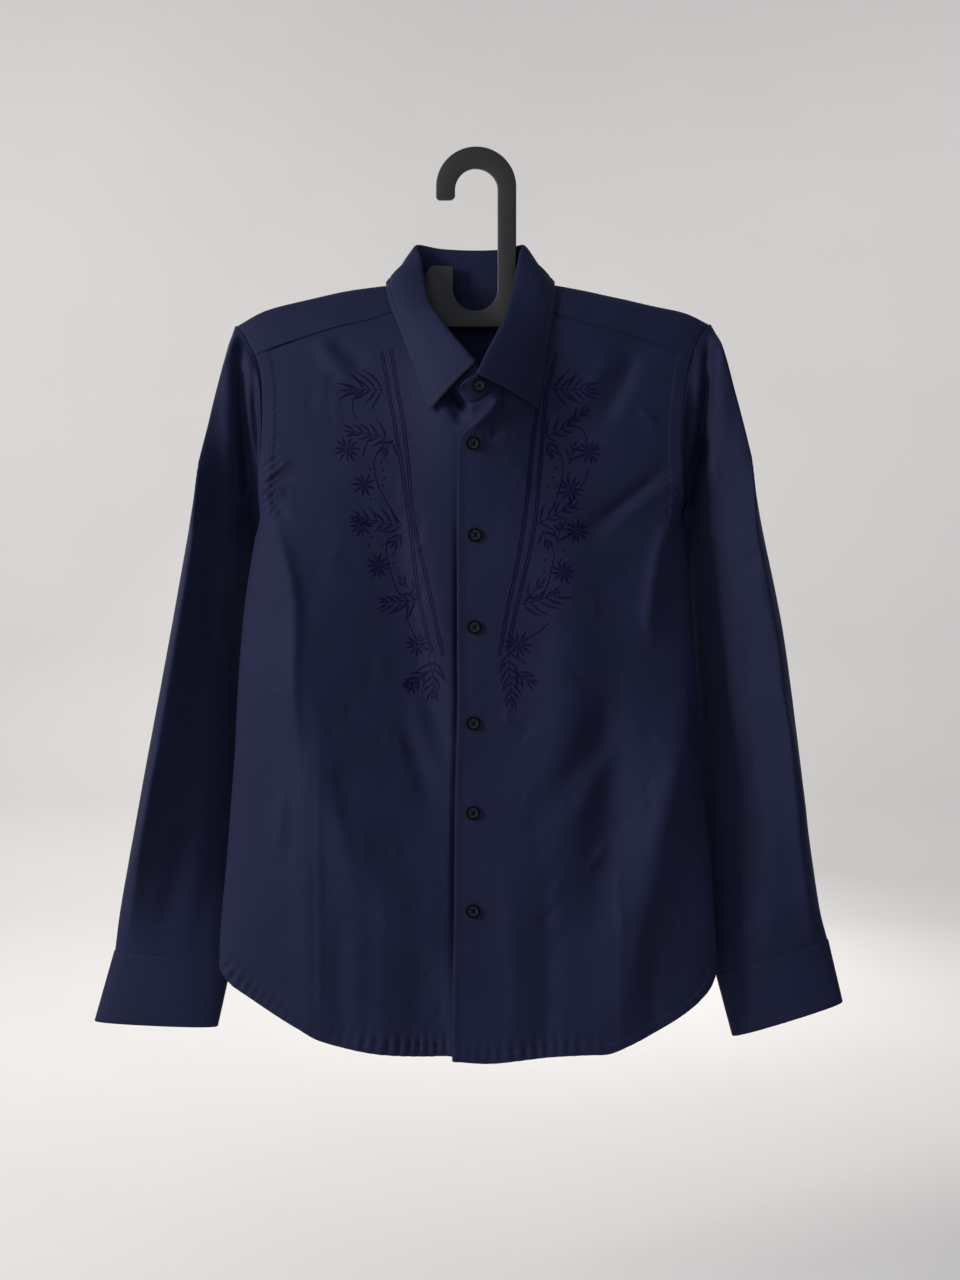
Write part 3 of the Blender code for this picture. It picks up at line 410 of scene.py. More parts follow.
def navyCotton():
    look, nodes, links, shader = newLook("navyCotton")
    place = nodes.new("ShaderNodeUVMap")
    place.uv_map = "cloth"
    twill = nodes.new("ShaderNodeTexWave")
    twill.bands_direction = "DIAGONAL"
    twill.inputs["Scale"].default_value = 2 * math.pi / (20 * clothFinish["twillPitch"])
    twill.inputs["Distortion"].default_value = 0.6
    twill.inputs["Detail"].default_value = 1.0
    links.new(place.outputs["UV"], twill.inputs["Vector"])
    slub = noiseAt(nodes, links, place.outputs["UV"], 420.0, 3.0, 0.6)
    tone = noiseAt(nodes, links, place.outputs["UV"], 9.0, 3.0, 0.55)
    colour = mixColour(nodes, links, tone, clothFinish["dark"], clothFinish["lit"])
    links.new(colour, shader.inputs["Base Color"])
    shader.inputs["Roughness"].default_value = clothFinish["rough"]
    shader.inputs["Specular IOR Level"].default_value = 0.10
    shader.inputs["Sheen Weight"].default_value = clothFinish["sheen"]
    shader.inputs["Sheen Roughness"].default_value = 0.35
    shader.inputs["Sheen Tint"].default_value = (*clothFinish["sheenTint"], 1.0)
    soft = noiseAt(nodes, links, place.outputs["UV"], 55.0, 4.0, 0.5)
    normal = bumpFrom(nodes, links, soft, 0.35, 0.0012)
    normal = bumpFrom(nodes, links, slub, 0.25, 0.0002, normal)
    normal = bumpFrom(nodes, links, twill.outputs["Fac"], 0.30, 0.00010, normal)
    links.new(normal, shader.inputs["Normal"])
    return look


def plainLook(name, dark, lit, rough, scale, bump, spec=0.5, sheen=0.0):
    look, nodes, links, shader = newLook(name)
    place = nodes.new("ShaderNodeTexCoord")
    tone = noiseAt(nodes, links, place.outputs["Object"], scale, 3.0, 0.6)
    links.new(mixColour(nodes, links, tone, dark, lit), shader.inputs["Base Color"])
    shader.inputs["Roughness"].default_value = rough
    shader.inputs["Specular IOR Level"].default_value = spec
    shader.inputs["Sheen Weight"].default_value = sheen
    links.new(bumpFrom(nodes, links, tone, bump, 0.0003), shader.inputs["Normal"])
    return look


looks = {
    "cloth": navyCotton(),
    "silk": plainLook("embroideryThread", (0.0012, 0.0004, 0.0200), (0.0034, 0.0012, 0.0430),
                      0.45, 900.0, 0.25, 0.09),
    "thread": plainLook("sewingThread", (0.0060, 0.0070, 0.0240), (0.0095, 0.0110, 0.0370),
                        0.55, 900.0, 0.3, 0.25, 0.05),
    # Button body: its own dark colour, taken nearly to black for the rim as painted shade.
    "button": plainLook("darkButton", (0.0012, 0.0012, 0.0018), (0.0030, 0.0031, 0.0044),
                        0.60, 260.0, 0.04, 0.04),
    # Lighter grey for the top of the button face: a painted reflection.
    "buttonFaceReflection": plainLook("buttonFacePaintedReflection", (0.0095, 0.0096, 0.0112), (0.0160, 0.0163, 0.0185),
                            0.50, 260.0, 0.04, 0.12),
    "hanger": plainLook("blackPlastic", (0.0100, 0.0100, 0.0103), (0.0150, 0.0149, 0.0153),
                        0.48, 1500.0, 0.20, 0.45),
}
print("looks made:", len(looks))

skins = {}


def addPiece(name, verts, faces, look, replaced=(), uvs=None, slot="navy_cloth"):
    mesh = bpy.data.meshes.new(name)
    mesh.from_pydata([tuple(v) for v in verts], [], faces)
    mesh.materials.append(look)
    if uvs is not None:
        layer = mesh.uv_layers.new(name="cloth")
        spots = np.array(uvs, dtype=np.float32)
        order = np.zeros(len(mesh.loops), dtype=np.int32)
        mesh.loops.foreach_get("vertex_index", order)
        layer.data.foreach_set("uv", spots[order].ravel())
    work = bmesh.new()
    work.from_mesh(mesh)
    bmesh.ops.recalc_face_normals(work, faces=work.faces)
    work.to_mesh(mesh)
    work.free()
    mesh.shade_smooth()
    made = bpy.data.objects.new(name, mesh)
    bpy.context.scene.collection.objects.link(made)
    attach(made, "root")
    if replaced:
        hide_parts(*replaced)
    return made


def keepSkin(name, verts, faces):
    skins[name] = BVHTree.FromPolygons([Vector(v) for v in verts], faces)


# One coordinate of every point of a grid
def gridOf(rows, axis):
    return np.array([[p[axis] for p in row] for row in rows])


# The middle of each ring, once for each of its points
def ringCentres(rows):
    centres = []
    for row in rows:
        mid = sum(row, Vector()) / len(row)
        centres += [tuple(mid)] * len(row)
    return np.array(centres)


# Half width of the body on one side
def halfAt(way, z):
    return readTable(halfWidth, z, 1 if way > 0 else 2)


# How much of a fold is left beside the side seam
def calmAtSide(way, reach, z):
    return ease((halfAt(way, z) - reach) / body["sideCalm"]) if z < body["underarmZ"] else 1.0


# The nearest cloth to the viewer at x, z of the front view, or of the back view
def touch(name, x, z, face="front"):
    way = 1 if face == "front" else -1
    spot, normal, _, _ = skins[name].ray_cast(Vector((x, -way, z)), Vector((0, way, 0)))
    if spot is None:
        return None
    if normal.y * way > 0:
        normal = -normal
    return spot, normal


# A closed shell of cloth: both faces, and a rounded edge where it was turned under.
# outside and inside are how far the faces stand from the points.
def clothShell(name, points, quads, hint, outside=0.0005, inside=0.0005, uvs=None, **rest):
    pts = np.array([tuple(p) for p in points])
    count = len(pts)
    q = np.array(quads)
    across = np.cross(pts[q[:, 2]] - pts[q[:, 0]], pts[q[:, 3]] - pts[q[:, 1]])
    across /= np.linalg.norm(across, axis=1, keepdims=True) + 1e-12
    normals = np.zeros((count, 3))
    middle = pts[q].mean(axis=1)
    heart = np.zeros((count, 3))
    for k in range(4):
        np.add.at(normals, q[:, k], across)
        np.add.at(heart, q[:, k], middle)
    used = np.bincount(q.ravel(), minlength=count)[:, None]
    heart /= used
    normals /= np.linalg.norm(normals, axis=1, keepdims=True) + 1e-12
    toward = pts - np.array(hint) if np.ndim(hint) == 2 else np.array(hint)
    if (normals * toward).sum() < 0:
        normals = -normals
        q = q[:, ::-1]
    outer = np.broadcast_to(np.asarray(outside, dtype=float), (count,))[:, None]
    inner = np.broadcast_to(np.asarray(inside, dtype=float), (count,))[:, None]
    edges = {}
    for quad in q.tolist():
        for i, j in zip(quad, quad[1:] + quad[:1]):
            edges[(i, j)] = True
    rim = {}
    rimPoints = []
    rimUvs = []
    border = [(i, j) for i, j in edges if (j, i) not in edges]
    for i, j in border:
        for k in (i, j):
            if k not in rim:
                away = pts[k] - heart[k]
                away -= normals[k] * away.dot(normals[k])
                away /= np.linalg.norm(away) + 1e-12
                lift = (outer[k] - inner[k]) / 2
                rim[k] = 2 * count + len(rimPoints)
                rimPoints.append(pts[k] + away * (outer[k] + inner[k]) * 0.45 + normals[k] * lift)
                rimUvs.append(uvs[k] if uvs is not None else (0, 0))
    layers = [pts + normals * outer, pts - normals * inner]
    verts = np.vstack(layers + ([rimPoints] if rimPoints else []))
    faces = q.tolist() + (q[:, ::-1] + count).tolist()
    for i, j in border:
        faces.append([j, i, rim[i], rim[j]])
        faces.append([rim[j], rim[i], i + count, j + count])
    allUvs = list(uvs) + list(uvs) + rimUvs if uvs is not None else None
    keepSkin(name, verts, faces)
    return addPiece(name, verts, faces, looks["cloth"], uvs=allUvs, **rest)


def gridQuads(rows, cols, loop=False):
    quads = []
    for j in range(rows - 1):
        for i in range(cols if loop else cols - 1):
            k = (i + 1) % cols
            quads.append((j * cols + i, j * cols + k, (j + 1) * cols + k, (j + 1) * cols + i))
    return quads


def gridUvs(rows):
    grid = np.array([[tuple(p) for p in row] for row in rows])
    run = np.linalg.norm(np.diff(grid, axis=1), axis=2).cumsum(axis=1)
    run = np.hstack([np.zeros((len(grid), 1)), run])
    run -= run[:, run.shape[1] // 2][:, None]
    fall = np.linalg.norm(np.diff(grid, axis=0), axis=2).cumsum(axis=0)
    fall = np.vstack([np.zeros((1, grid.shape[1])), fall])
    return np.stack([run, -fall], axis=2).reshape(-1, 2).tolist()


def sheetShell(name, rows, hint, loop=False, **rest):
    points = [p for row in rows for p in row]
    quads = gridQuads(len(rows), len(rows[0]), loop)
    return clothShell(name, points, quads, hint, uvs=gridUvs(rows), **rest)


# Body fronts

# Height, reach to the left of the line, reach to the right, sharpness, line
frontCreases = {
    "right": [
        # broad drape: the ridge under the arm, and the hollow beside the placket
        (3.9, 34, 34, 1.8, [(-190, -300), (-175, -365), (-158, -445), (-144, -510), (-130, -560),
                            (-118, -620), (-112, -700), (-112, -800), (-112, -900)]),
        (-4.2, 42, 20, 2, [(-84, -250), (-68, -380), (-50, -480), (-34, -570), (-26, -660)]),
        (2.2, 24, 26, 2, [(-140, -560), (-100, -640), (-56, -696), (-10, -720)]),
        (-2.0, 30, 14, 2, [(-44, -700), (-34, -770), (-30, -900)]),
        # the dark hollow beside the neck opening, and the step beside the placket's edge
        (-3.2, 7, 8, 2, [(-34, -206), (-23, -220), (-15, -234), (-13, -250)]),
        (-1.5, 2.3, 4.0, 1.8, [(-16.4, -262), (-17.4, -300), (-17.4, -510), (-19.2, -582),
                               (-20.1, -672), (-21.0, -744), (-21.6, -816)]),
        (-4.0, 4.5, 4.5, 2.2, [(-26, -206), (-18, -216), (-10, -228), (-6, -237)]),
        (1.6, 9, 6, 1.6, [(-190, -312), (-175, -355), (-163, -403), (-164, -476), (-160, -560)]),
        (1.0, 12, 16, 2, [(-157, -470), (-153, -620), (-150, -830)]),
        (0.5, 2.2, 2.2, 1.2, [(-141, -500), (-141.5, -620), (-140, -830)]),
        (0.9, 7, 9, 2, [(-149, -158), (-131, -182), (-110, -206)]),
        (-0.8, 8, 8, 2, [(-136, -157), (-118, -176), (-98, -196)]),
        (-1.1, 10, 14, 2, [(-126, -540), (-116, -585), (-101, -630)]),
        (0.8, 5, 7, 1.6, [(-175, -565), (-177, -600), (-180, -640)]),
        (0.9, 8, 10, 2, [(-62, -482), (-43, -530), (-24, -580)]),
        (-0.8, 8, 8, 2, [(-74, -500), (-54, -550), (-36, -600)]),
        (0.5, 3, 4, 1.6, [(-36, -422), (-27, -429), (-15, -439)]),
        (0.9, 3.5, 6, 1.5, [(-198, -297), (-186, -300), (-170, -306)]),
        (-0.8, 4, 4, 1.8, [(-196, -304), (-183, -313), (-170, -330)]),
        (0.8, 3.5, 4, 1.5, [(-196, -292), (-182, -284), (-168, -272)]),
        (-0.6, 3.5, 4, 1.8, [(-197, -296), (-181, -292), (-162, -288)]),
        (-0.8, 12, 12, 2, [(-60, -640), (-52, -720), (-58, -830)]),
        (0.7, 10, 14, 2, [(-88, -650), (-84, -740), (-92, -840)]),
        (-0.7, 9, 9, 2, [(-118, -660), (-122, -740), (-118, -840)]),
    ],
    "left": [
        (3.2, 34, 32, 2, [(64, -250), (76, -360), (82, -480), (76, -600), (60, -720)]),
        (3.8, 32, 20, 1.7, [(196, -440), (188, -530), (170, -610), (151, -680), (137, -740), (126, -860)]),
        (-2.7, 20, 20, 2, [(112, -460), (122, -560), (116, -640), (104, -720)]),
        (-1.3, 9, 7, 2, [(150, -168), (134, -205), (110, -248)]),
        (0.8, 8, 8, 2, [(128, -168), (108, -205), (90, -240)]),
        (-1.2, 5, 6, 1.7, [(176, -280), (140, -308), (104, -336)]),
        (0.8, 5, 6, 1.8, [(180, -292), (146, -318), (112, -346)]),
        (1.5, 6, 9, 1.6, [(189, -312), (168, -350), (158, -403), (160, -450)]),
        (0.6, 3, 4, 1.6, [(148, -226), (156, -235), (166, -244)]),
        (-1.3, 10, 12, 2, [(124, -492), (98, -540), (68, -590)]),
        (0.9, 8, 9, 2, [(134, -520), (108, -566), (82, -612)]),
        (0.8, 4, 5, 1.6, [(121, -620), (109, -637), (97, -652)]),
        (1.2, 10, 12, 2, [(188, -520), (171, -585), (152, -655)]),
        (0.5, 2.2, 2.2, 1.2, [(130, -632), (131, -720), (129, -830)]),
        (0.6, 4, 5, 1.6, [(123, -672), (131, -686), (142, -704)]),
        (-0.8, 9, 9, 2, [(60, -630), (66, -720), (62, -840)]),
        (0.7, 12, 12, 2, [(30, -640), (36, -740), (32, -840)]),
        (-0.7, 9, 9, 2, [(166, -660), (160, -730), (163, -830)]),
        # the roll at the top of the placket
        (2.2, 5, 4, 1.8, [(25, -210), (20, -222), (13, -234), (1, -245), (-12, -256)]),
        (-1.8, 5, 7, 2, [(32, -216), (27, -230), (18, -246), (6, -262)]),
    ],
}
# Gathers are height, spacing and reach to each side of their line
frontCut = {
    "step": 0.0024, "fine": 0.0013, "armholeStitch": 0.0120, "hemStitch": 0.0085,
    "tuck": 0.0016, "thick": 0.0005, "creaseGain": 2.4, "edgeLift": 0.0011, "edgeReach": 0.007,
    "seamLength": 0.148, "seamStep": 0.0030, "seamEnd": 0.018,
    "neckSteps": 50, "armSteps": 66, "wear": 46, "restless": 0.00035,
    "armGathers": (0.00055, 0.0075, 0.0080), "lowGathers": (0.00075, 0.0082, 0.0100),
    "lowFrom": -0.235, "gatherSlant": 0.9, "hemSpacing": 0.0098, "hemReach": 0.0085,
    "hemGathers": {"left": 0.00100, "right": 0.00160},
    "turned": 0.00055, "groove": 0.00025, "grooveHalf": 0.0009, "armGroove": 0.00012,
}

# Lowest and highest of each measure of a small crease, in millimetres and degrees
wearCut = {
    "angle": (35, 145), "length": (16, 46), "bend": (-0.12, 0.12), "height": (0.30, 0.95),
    "reachLeft": (2.2, 5.0), "reachRight": (2.2, 6.0), "sharpness": (1.3, 2.0),
}


# Small creases left by folding and wear, drawn at random from a fixed seed
def smallCreases(seed, count, left, right, low, high):
    draw = random.Random(seed)
    rows = []
    for _ in range(count):
        x, z = draw.uniform(left, right), draw.uniform(low, high)
        angle, long = math.radians(draw.uniform(*wearCut["angle"])), draw.uniform(*wearCut["length"])
        bend = draw.uniform(*wearCut["bend"]) * long
        dx, dz = math.cos(angle) * long, -math.sin(angle) * long
        middle = (x + dx / 2 + bend * dz / long, z + dz / 2 - bend * dx / long)
        height = draw.choice((-1, 1)) * draw.uniform(*wearCut["height"])
        shape = [draw.uniform(*wearCut[key]) for key in ("reachLeft", "reachRight", "sharpness")]
        rows.append((height, *shape, [(x, z), middle, (x + dx, z + dz)]))
    return rows


# Hem line as x, z with the panel's own side
def hemLine(side, inset):
    way = sides[side]["way"]
    path = tracePath(sides[side]["hem"], even(60))
    return [(way * p.x, p.y + inset) for p in path]


# X of the armhole at a level, moved into the body
def insideArm(side, z, inset, face="front"):
    edge = readTable(sides[side]["armhole"], z, 1 if face == "front" else 2)
    return sides[side]["way"] * (edge - inset)


# The armhole from the yoke down to the underarm, moved into the body
def armholeLine(side, inset, face="front"):
    levels = [lerp(body["armholeTopZ"], body["underarmZ"], t) for t in even(40)]
    return [(insideArm(side, z, inset, face), z) for z in levels]


def frontExtras(side, x, z):
    cut, way = frontCut, sides[side]["way"]
    total = creaseHeight(frontCreases[side], x, z) * cut["creaseGain"]
    inner, outer = sorted((way * 25, way * 200))
    total = total + creaseHeight(smallCreases(21 + way, cut["wear"], inner, outer, -790, -190), x, z)
    total = total + restless(x, z, 1.3 if way > 0 else 4.1, cut["restless"])
    arm = armholeLine(side, cut["armholeStitch"])
    slant = -cut["gatherSlant"] * way
    total += puckerHeight(arm, *cut["armGathers"], 2.0 + way, x, z, slant)
    low = puckerHeight(arm, *cut["lowGathers"], 6.0 + way, x, z, slant)
    total += low * np.clip((cut["lowFrom"] - z) / 0.05, 0.0, 1.0)
    hem = hemLine(side, cut["hemStitch"])
    total += puckerHeight(hem, cut["hemGathers"][side], cut["hemSpacing"], cut["hemReach"], 5.0 + way, x, z)
    return total


def buildFront(side):
    cut, plan = frontCut, sides[side]
    way, low = plan["way"], body["underarmZ"]
    neckline = tracePath([(x, z + cut["tuck"]) for x, z in plan["neck"]], even(cut["neckSteps"]))
    seam = tracePath([(x, z + cut["tuck"]) for x, z in plan["yoke"]],
                     gradedShares(cut["seamLength"], cut["seamStep"], 0.0, cut["seamEnd"], cut["fine"]))
    top = neckline + seam[1:]
    levels = [lerp(top[-1].y, low, t) for t in even(cut["armSteps"])]
    outer = [top[-1]] + [Vector((readTable(plan["armhole"], z), z)) for z in levels[1:]]
    hemZ = plan["hem"][-1][1]
    for t in gradedShares(low - hemZ, cut["step"], 0.0, body["sideCalm"], cut["fine"])[1:]:
        z = lerp(low, hemZ, t)
        outer.append(Vector((halfAt(way, z), z)))
    us, vs = sharesOf(top), sharesOf(outer)
    bottom = tracePath(plan["hem"], us)
    inner = tracePath(plan["edge"], vs)
    inner[0] = top[0]
    bottom[-1] = outer[-1]
    bottom[0] = inner[-1]
    flat = fillSheet(top, bottom, inner, outer, us, vs)
    xs, zs = way * gridOf(flat, 0), gridOf(flat, 1)
    extra = frontExtras(side, xs, zs)
    # The top lies under the yoke and the collar, and the hem is turned up and stitched
    yokeLine = [(way * p.x, p.y) for p in tracePath(plan["yoke"], even(30))]
    under = np.clip(1.0 - np.abs(placeOnLine(yokeLine, xs, zs)[0]) / body["yokeSinkReach"], 0.0, 1.0)
    rows = []
    for j, row in enumerate(flat):
        line = []
        for i, p in enumerate(row):
            spot = onBody(way * p.x, p.y, "front")
            spot.y -= extra[j, i] * calmAtSide(way, p.x, p.y)
            if side == "left":
                lift = cut["edgeLift"] * max(0.0, 1.0 - (p.x - inner[j].x) / cut["edgeReach"])
                spot.y -= rideFront(p.x) + lift
            spot.y += body["yokeSink"] * under[j, i]
            line.append(spot)
        rows.append(line)
    hemGap = np.abs(placeOnLine(hemLine(side, 0.0), xs, zs)[0])
    turned = np.clip((cut["hemStitch"] - hemGap) / body["turnSoft"], 0.0, 1.0)
    groove = np.exp(-((hemGap - cut["hemStitch"]) / cut["grooveHalf"]) ** 2)
    armGap = np.abs(placeOnLine(armholeLine(side, cut["armholeStitch"]), xs, zs)[0])
    seamBand = np.exp(-(armGap / cut["grooveHalf"]) ** 2)
    edgeGap = np.abs(placeOnLine(armholeLine(side, 0.0), xs, zs)[0])
    felled = np.clip((cut["armholeStitch"] - edgeGap) / 0.0010, 0.0, 1.0)
    thick = cut["thick"] + cut["turned"] * np.maximum(turned, felled)
    thick = thick - cut["groove"] * groove - cut["armGroove"] * seamBand
    sheetShell("frontPanel_" + side, rows, (0, -1, 0), outside=thick.ravel(),
               inside=(cut["thick"] + body["turnInside"] * turned).ravel(), replaced=["front_" + side])


for side in sides:
    buildFront(side)
print("fronts made")

# Back

backCreases = [
    (1.4, 12, 10, 2, [(-150, -300), (-135, -460), (-128, -640), (-132, -850)]),
    (-1.2, 10, 12, 2, [(-95, -330), (-84, -520), (-92, -700), (-86, -850)]),
    (1.2, 12, 12, 2, [(140, -310), (126, -470), (122, -640), (128, -850)]),
    (-1.3, 10, 14, 2, [(88, -340), (78, -500), (86, -700), (80, -850)]),
    (1.0, 14, 14, 2, [(20, -230), (26, -400), (18, -600), (24, -850)]),
    (-0.9, 9, 12, 2, [(-30, -230), (-22, -380), (-34, -560), (-28, -850)]),
    (1.4, 6, 8, 1.7, [(-186, -318), (-160, -345), (-128, -392)]),
    (-1.0, 6, 7, 1.8, [(-180, -336), (-152, -368), (-126, -420)]),
    (1.4, 8, 6, 1.7, [(178, -318), (154, -345), (124, -396)]),
    (-1.0, 7, 6, 1.8, [(172, -336), (146, -370), (122, -424)]),
    (0.8, 5, 7, 1.8, [(60, -560), (86, -585), (112, -596)]),
    (0.8, 5, 7, 1.8, [(-52, -640), (-80, -662), (-110, -668)]),
]
backCut = {
    "step": 0.0034, "fine": 0.0014, "hemStitch": 0.0085, "thick": 0.0005, "tuck": 0.0016,
    "across": 116, "sideLength": 0.421, "sideEndZ": -0.7420, "wear": 60,
    "creaseGain": 1.6, "restless": 0.0005, "turned": 0.0006,
    "hemGathers": (0.00090, 0.0095, 0.0080), "seamGathers": (0.00025, 0.0120, 0.0100),
}


def buildBack():
    cut, low, seamZ = backCut, body["underarmZ"], body["backSeamZ"]
    ends = []
    for side in ("right", "left"):
        way = sides[side]["way"]
        line = []
        for t in even(40):
            z = lerp(seamZ + cut["tuck"], low, t)
            line.append(Vector((insideArm(side, z, 0.0, "back"), z)))
        for t in gradedShares(cut["sideLength"], cut["step"], 0.0, body["sideCalm"], cut["fine"])[1:]:
            z = lerp(low, cut["sideEndZ"], t)
            line.append(Vector((way * halfAt(way, z), z)))
        ends.append(line)
    shares = [0.5 - 0.5 * math.cos(math.pi * (0.12 + 0.76 * t)) for t in even(cut["across"])]
    shares = [(s - shares[0]) / (shares[-1] - shares[0]) for s in shares]
    top = [ends[0][0].lerp(ends[1][0], s) for s in shares]
    hem = [(-x, z + 0.003) for x, z in reversed(sides["right"]["hem"][2:-1])]
    hem = [tuple(ends[0][-1])] + hem + [(0.0, -0.8155)]
    hem += [(x, z + 0.003) for x, z in sides["left"]["hem"][2:-1]] + [tuple(ends[1][-1])]
    flat = fillSheet(top, tracePath(hem, shares), ends[0], ends[1], shares, sharesOf(ends[0]))
    xs, zs = gridOf(flat, 0), gridOf(flat, 1)
    hemCurve = [(p.x, p.y) for p in tracePath(hem, even(120))]
    stitched = [(a, b + cut["hemStitch"]) for a, b in hemCurve]
    extra = creaseHeight(smallCreases(41, cut["wear"], -190, 190, -790, -210), xs, zs)
    extra += cut["creaseGain"] * creaseHeight(backCreases, xs, zs) + restless(xs, zs, 7.7, cut["restless"])
    extra += puckerHeight(stitched, *cut["hemGathers"], 9.0, xs, zs)
    extra += puckerHeight([(-0.21, seamZ), (0.21, seamZ)], *cut["seamGathers"], 3.0, xs, zs)
    hemGap = np.abs(placeOnLine(hemCurve, xs, zs)[0])
    turned = np.clip((cut["hemStitch"] - hemGap) / body["turnSoft"], 0.0, 1.0)
    under = np.clip(1.0 - np.abs(zs - seamZ) / body["yokeSinkReach"], 0.0, 1.0)
    rows = []
    for j, row in enumerate(flat):
        line = []
        for i, p in enumerate(row):
            spot = onBody(p.x, p.y, "back")
            calm = calmAtSide(p.x, abs(p.x), p.y)
            spot.y += extra[j, i] * calm - body["yokeSink"] * under[j, i]
            line.append(spot)
        rows.append(line)
    sheetShell("backPanel", rows, (0, 1, 0), outside=(cut["thick"] + cut["turned"] * turned).ravel(),
               inside=(cut["thick"] + body["turnInside"] * turned).ravel(), replaced=["back"])
    return hemCurve


backHem = buildBack()
print("back made")

# Yoke: over both shoulders, its rows run from the front seams over the shoulder line to the back

yokeCut = {
    "frontRows": [1.0, 0.985, 0.96, 0.90, 0.80, 0.70, 0.60, 0.50, 0.41, 0.33, 0.26, 0.19, 0.13,
                  0.08, 0.035],
    "backRows": [0.0, 0.02, 0.05, 0.09, 0.14, 0.20, 0.27, 0.34, 0.42, 0.50, 0.58, 0.66, 0.74, 0.82,
                 0.90, 0.95, 0.98, 1.0],
    "armSteps": 52, "middleSteps": 34, "thick": 0.0006,
}


# Where the armhole is crossed at a drop below the shoulder line
def armholeAt(side, drop, face):
    way, table = sides[side]["way"], sides[side]["armhole"]
    col = 1 if face == "front" else 2
    z = readTable(shoulderLine, way * table[-1][1]) - drop
    x = table[-1][1]
    for _ in range(12):
        x = readTable(table, z, col)
        z = readTable(shoulderLine, way * x) - drop
    return x, z


def yokeArm(side, part, front, share):
    way, yoke, neckX = sides[side]["way"], sides[side]["yoke"], sides[side]["neckTop"]
    shoulderOut = readTable(shoulderLine, way * 0.2)
    if front:
        start = lerp(neckX, yoke[0][0], part)
        endX = armholeAt(side, (shoulderOut - readTable(yoke, 0.2)) * part, "front")[0]
        endX = min(endX, yoke[-1][0]) if part == 1.0 else endX
        x = lerp(start, endX, share)
        top = readTable(shoulderLine, way * x)
        return way * x, top - (top - readTable(yoke, x)) * part, "front"
    first = 0.0022
    endX = armholeAt(side, lerp(first, shoulderOut - body["backSeamZ"], part), "back")[0]
    if part == 1.0:
        endX = readTable(sides[side]["armhole"], body["backSeamZ"], 2)
    x = lerp(neckX, endX, share)
    top = readTable(shoulderLine, way * x)
    return way * x, top - lerp(first, top - body["backSeamZ"], part), "back"


def buildYoke():
    steps = even(yokeCut["armSteps"])
    arms = len(steps)
    middle = yokeCut["middleSteps"]
    rows = [(part, True) for part in yokeCut["frontRows"]] + [(part, False) for part in yokeCut["backRows"]]
    points, index, uvs = [], {}, []

    def put(row, col, x, z, face):
        index[(row, col)] = len(points)
        points.append(onBody(x, z, face))
        uvs.append((x, z if face == "front" else -0.23 - z))

    for row, (part, front) in enumerate(rows):
        for n, share in enumerate(reversed(steps)):
            put(row, n, *yokeArm("right", part, front, share))
        if not front:
            for n in range(1, middle):
                x = lerp(-sides["right"]["neckTop"], sides["left"]["neckTop"], n / middle)
                top = readTable(shoulderLine, x)
                first = readTable(neckBack, abs(x))
                put(row, arms - 1 + n, x, top - lerp(first, top - body["backSeamZ"], part), "back")
        for n, share in enumerate(steps):
            put(row, arms - 1 + middle + n, *yokeArm("left", part, front, share))
    quads = []
    for row in range(len(rows) - 1):
        for col in range(2 * arms - 2 + middle):
            ring = [(row, col), (row, col + 1), (row + 1, col + 1), (row + 1, col)]
            if all(key in index for key in ring):
                quads.append(tuple(index[key] for key in ring))
    xs = np.array([p.x for p in points])
    zs = np.array([p.z for p in points])
    lift = restless(xs, zs, 2.2, 0.0004)
    edge = np.full(xs.shape, yokeCut["thick"])
    for (row, col), n in index.items():
        if rows[row][0] > 0.93:
            edge[n] += 0.0005
        points[n].z += lift[n] * 0.5
        points[n].y += lift[n] * (-1 if rows[row][1] else 1)
    clothShell("yokePanel", points, quads, np.tile((0.0, 0.0, -0.30), (len(points), 1)),
               outside=edge, inside=yokeCut["thick"], uvs=uvs, replaced=["yoke"])


buildYoke()
print("yoke made")

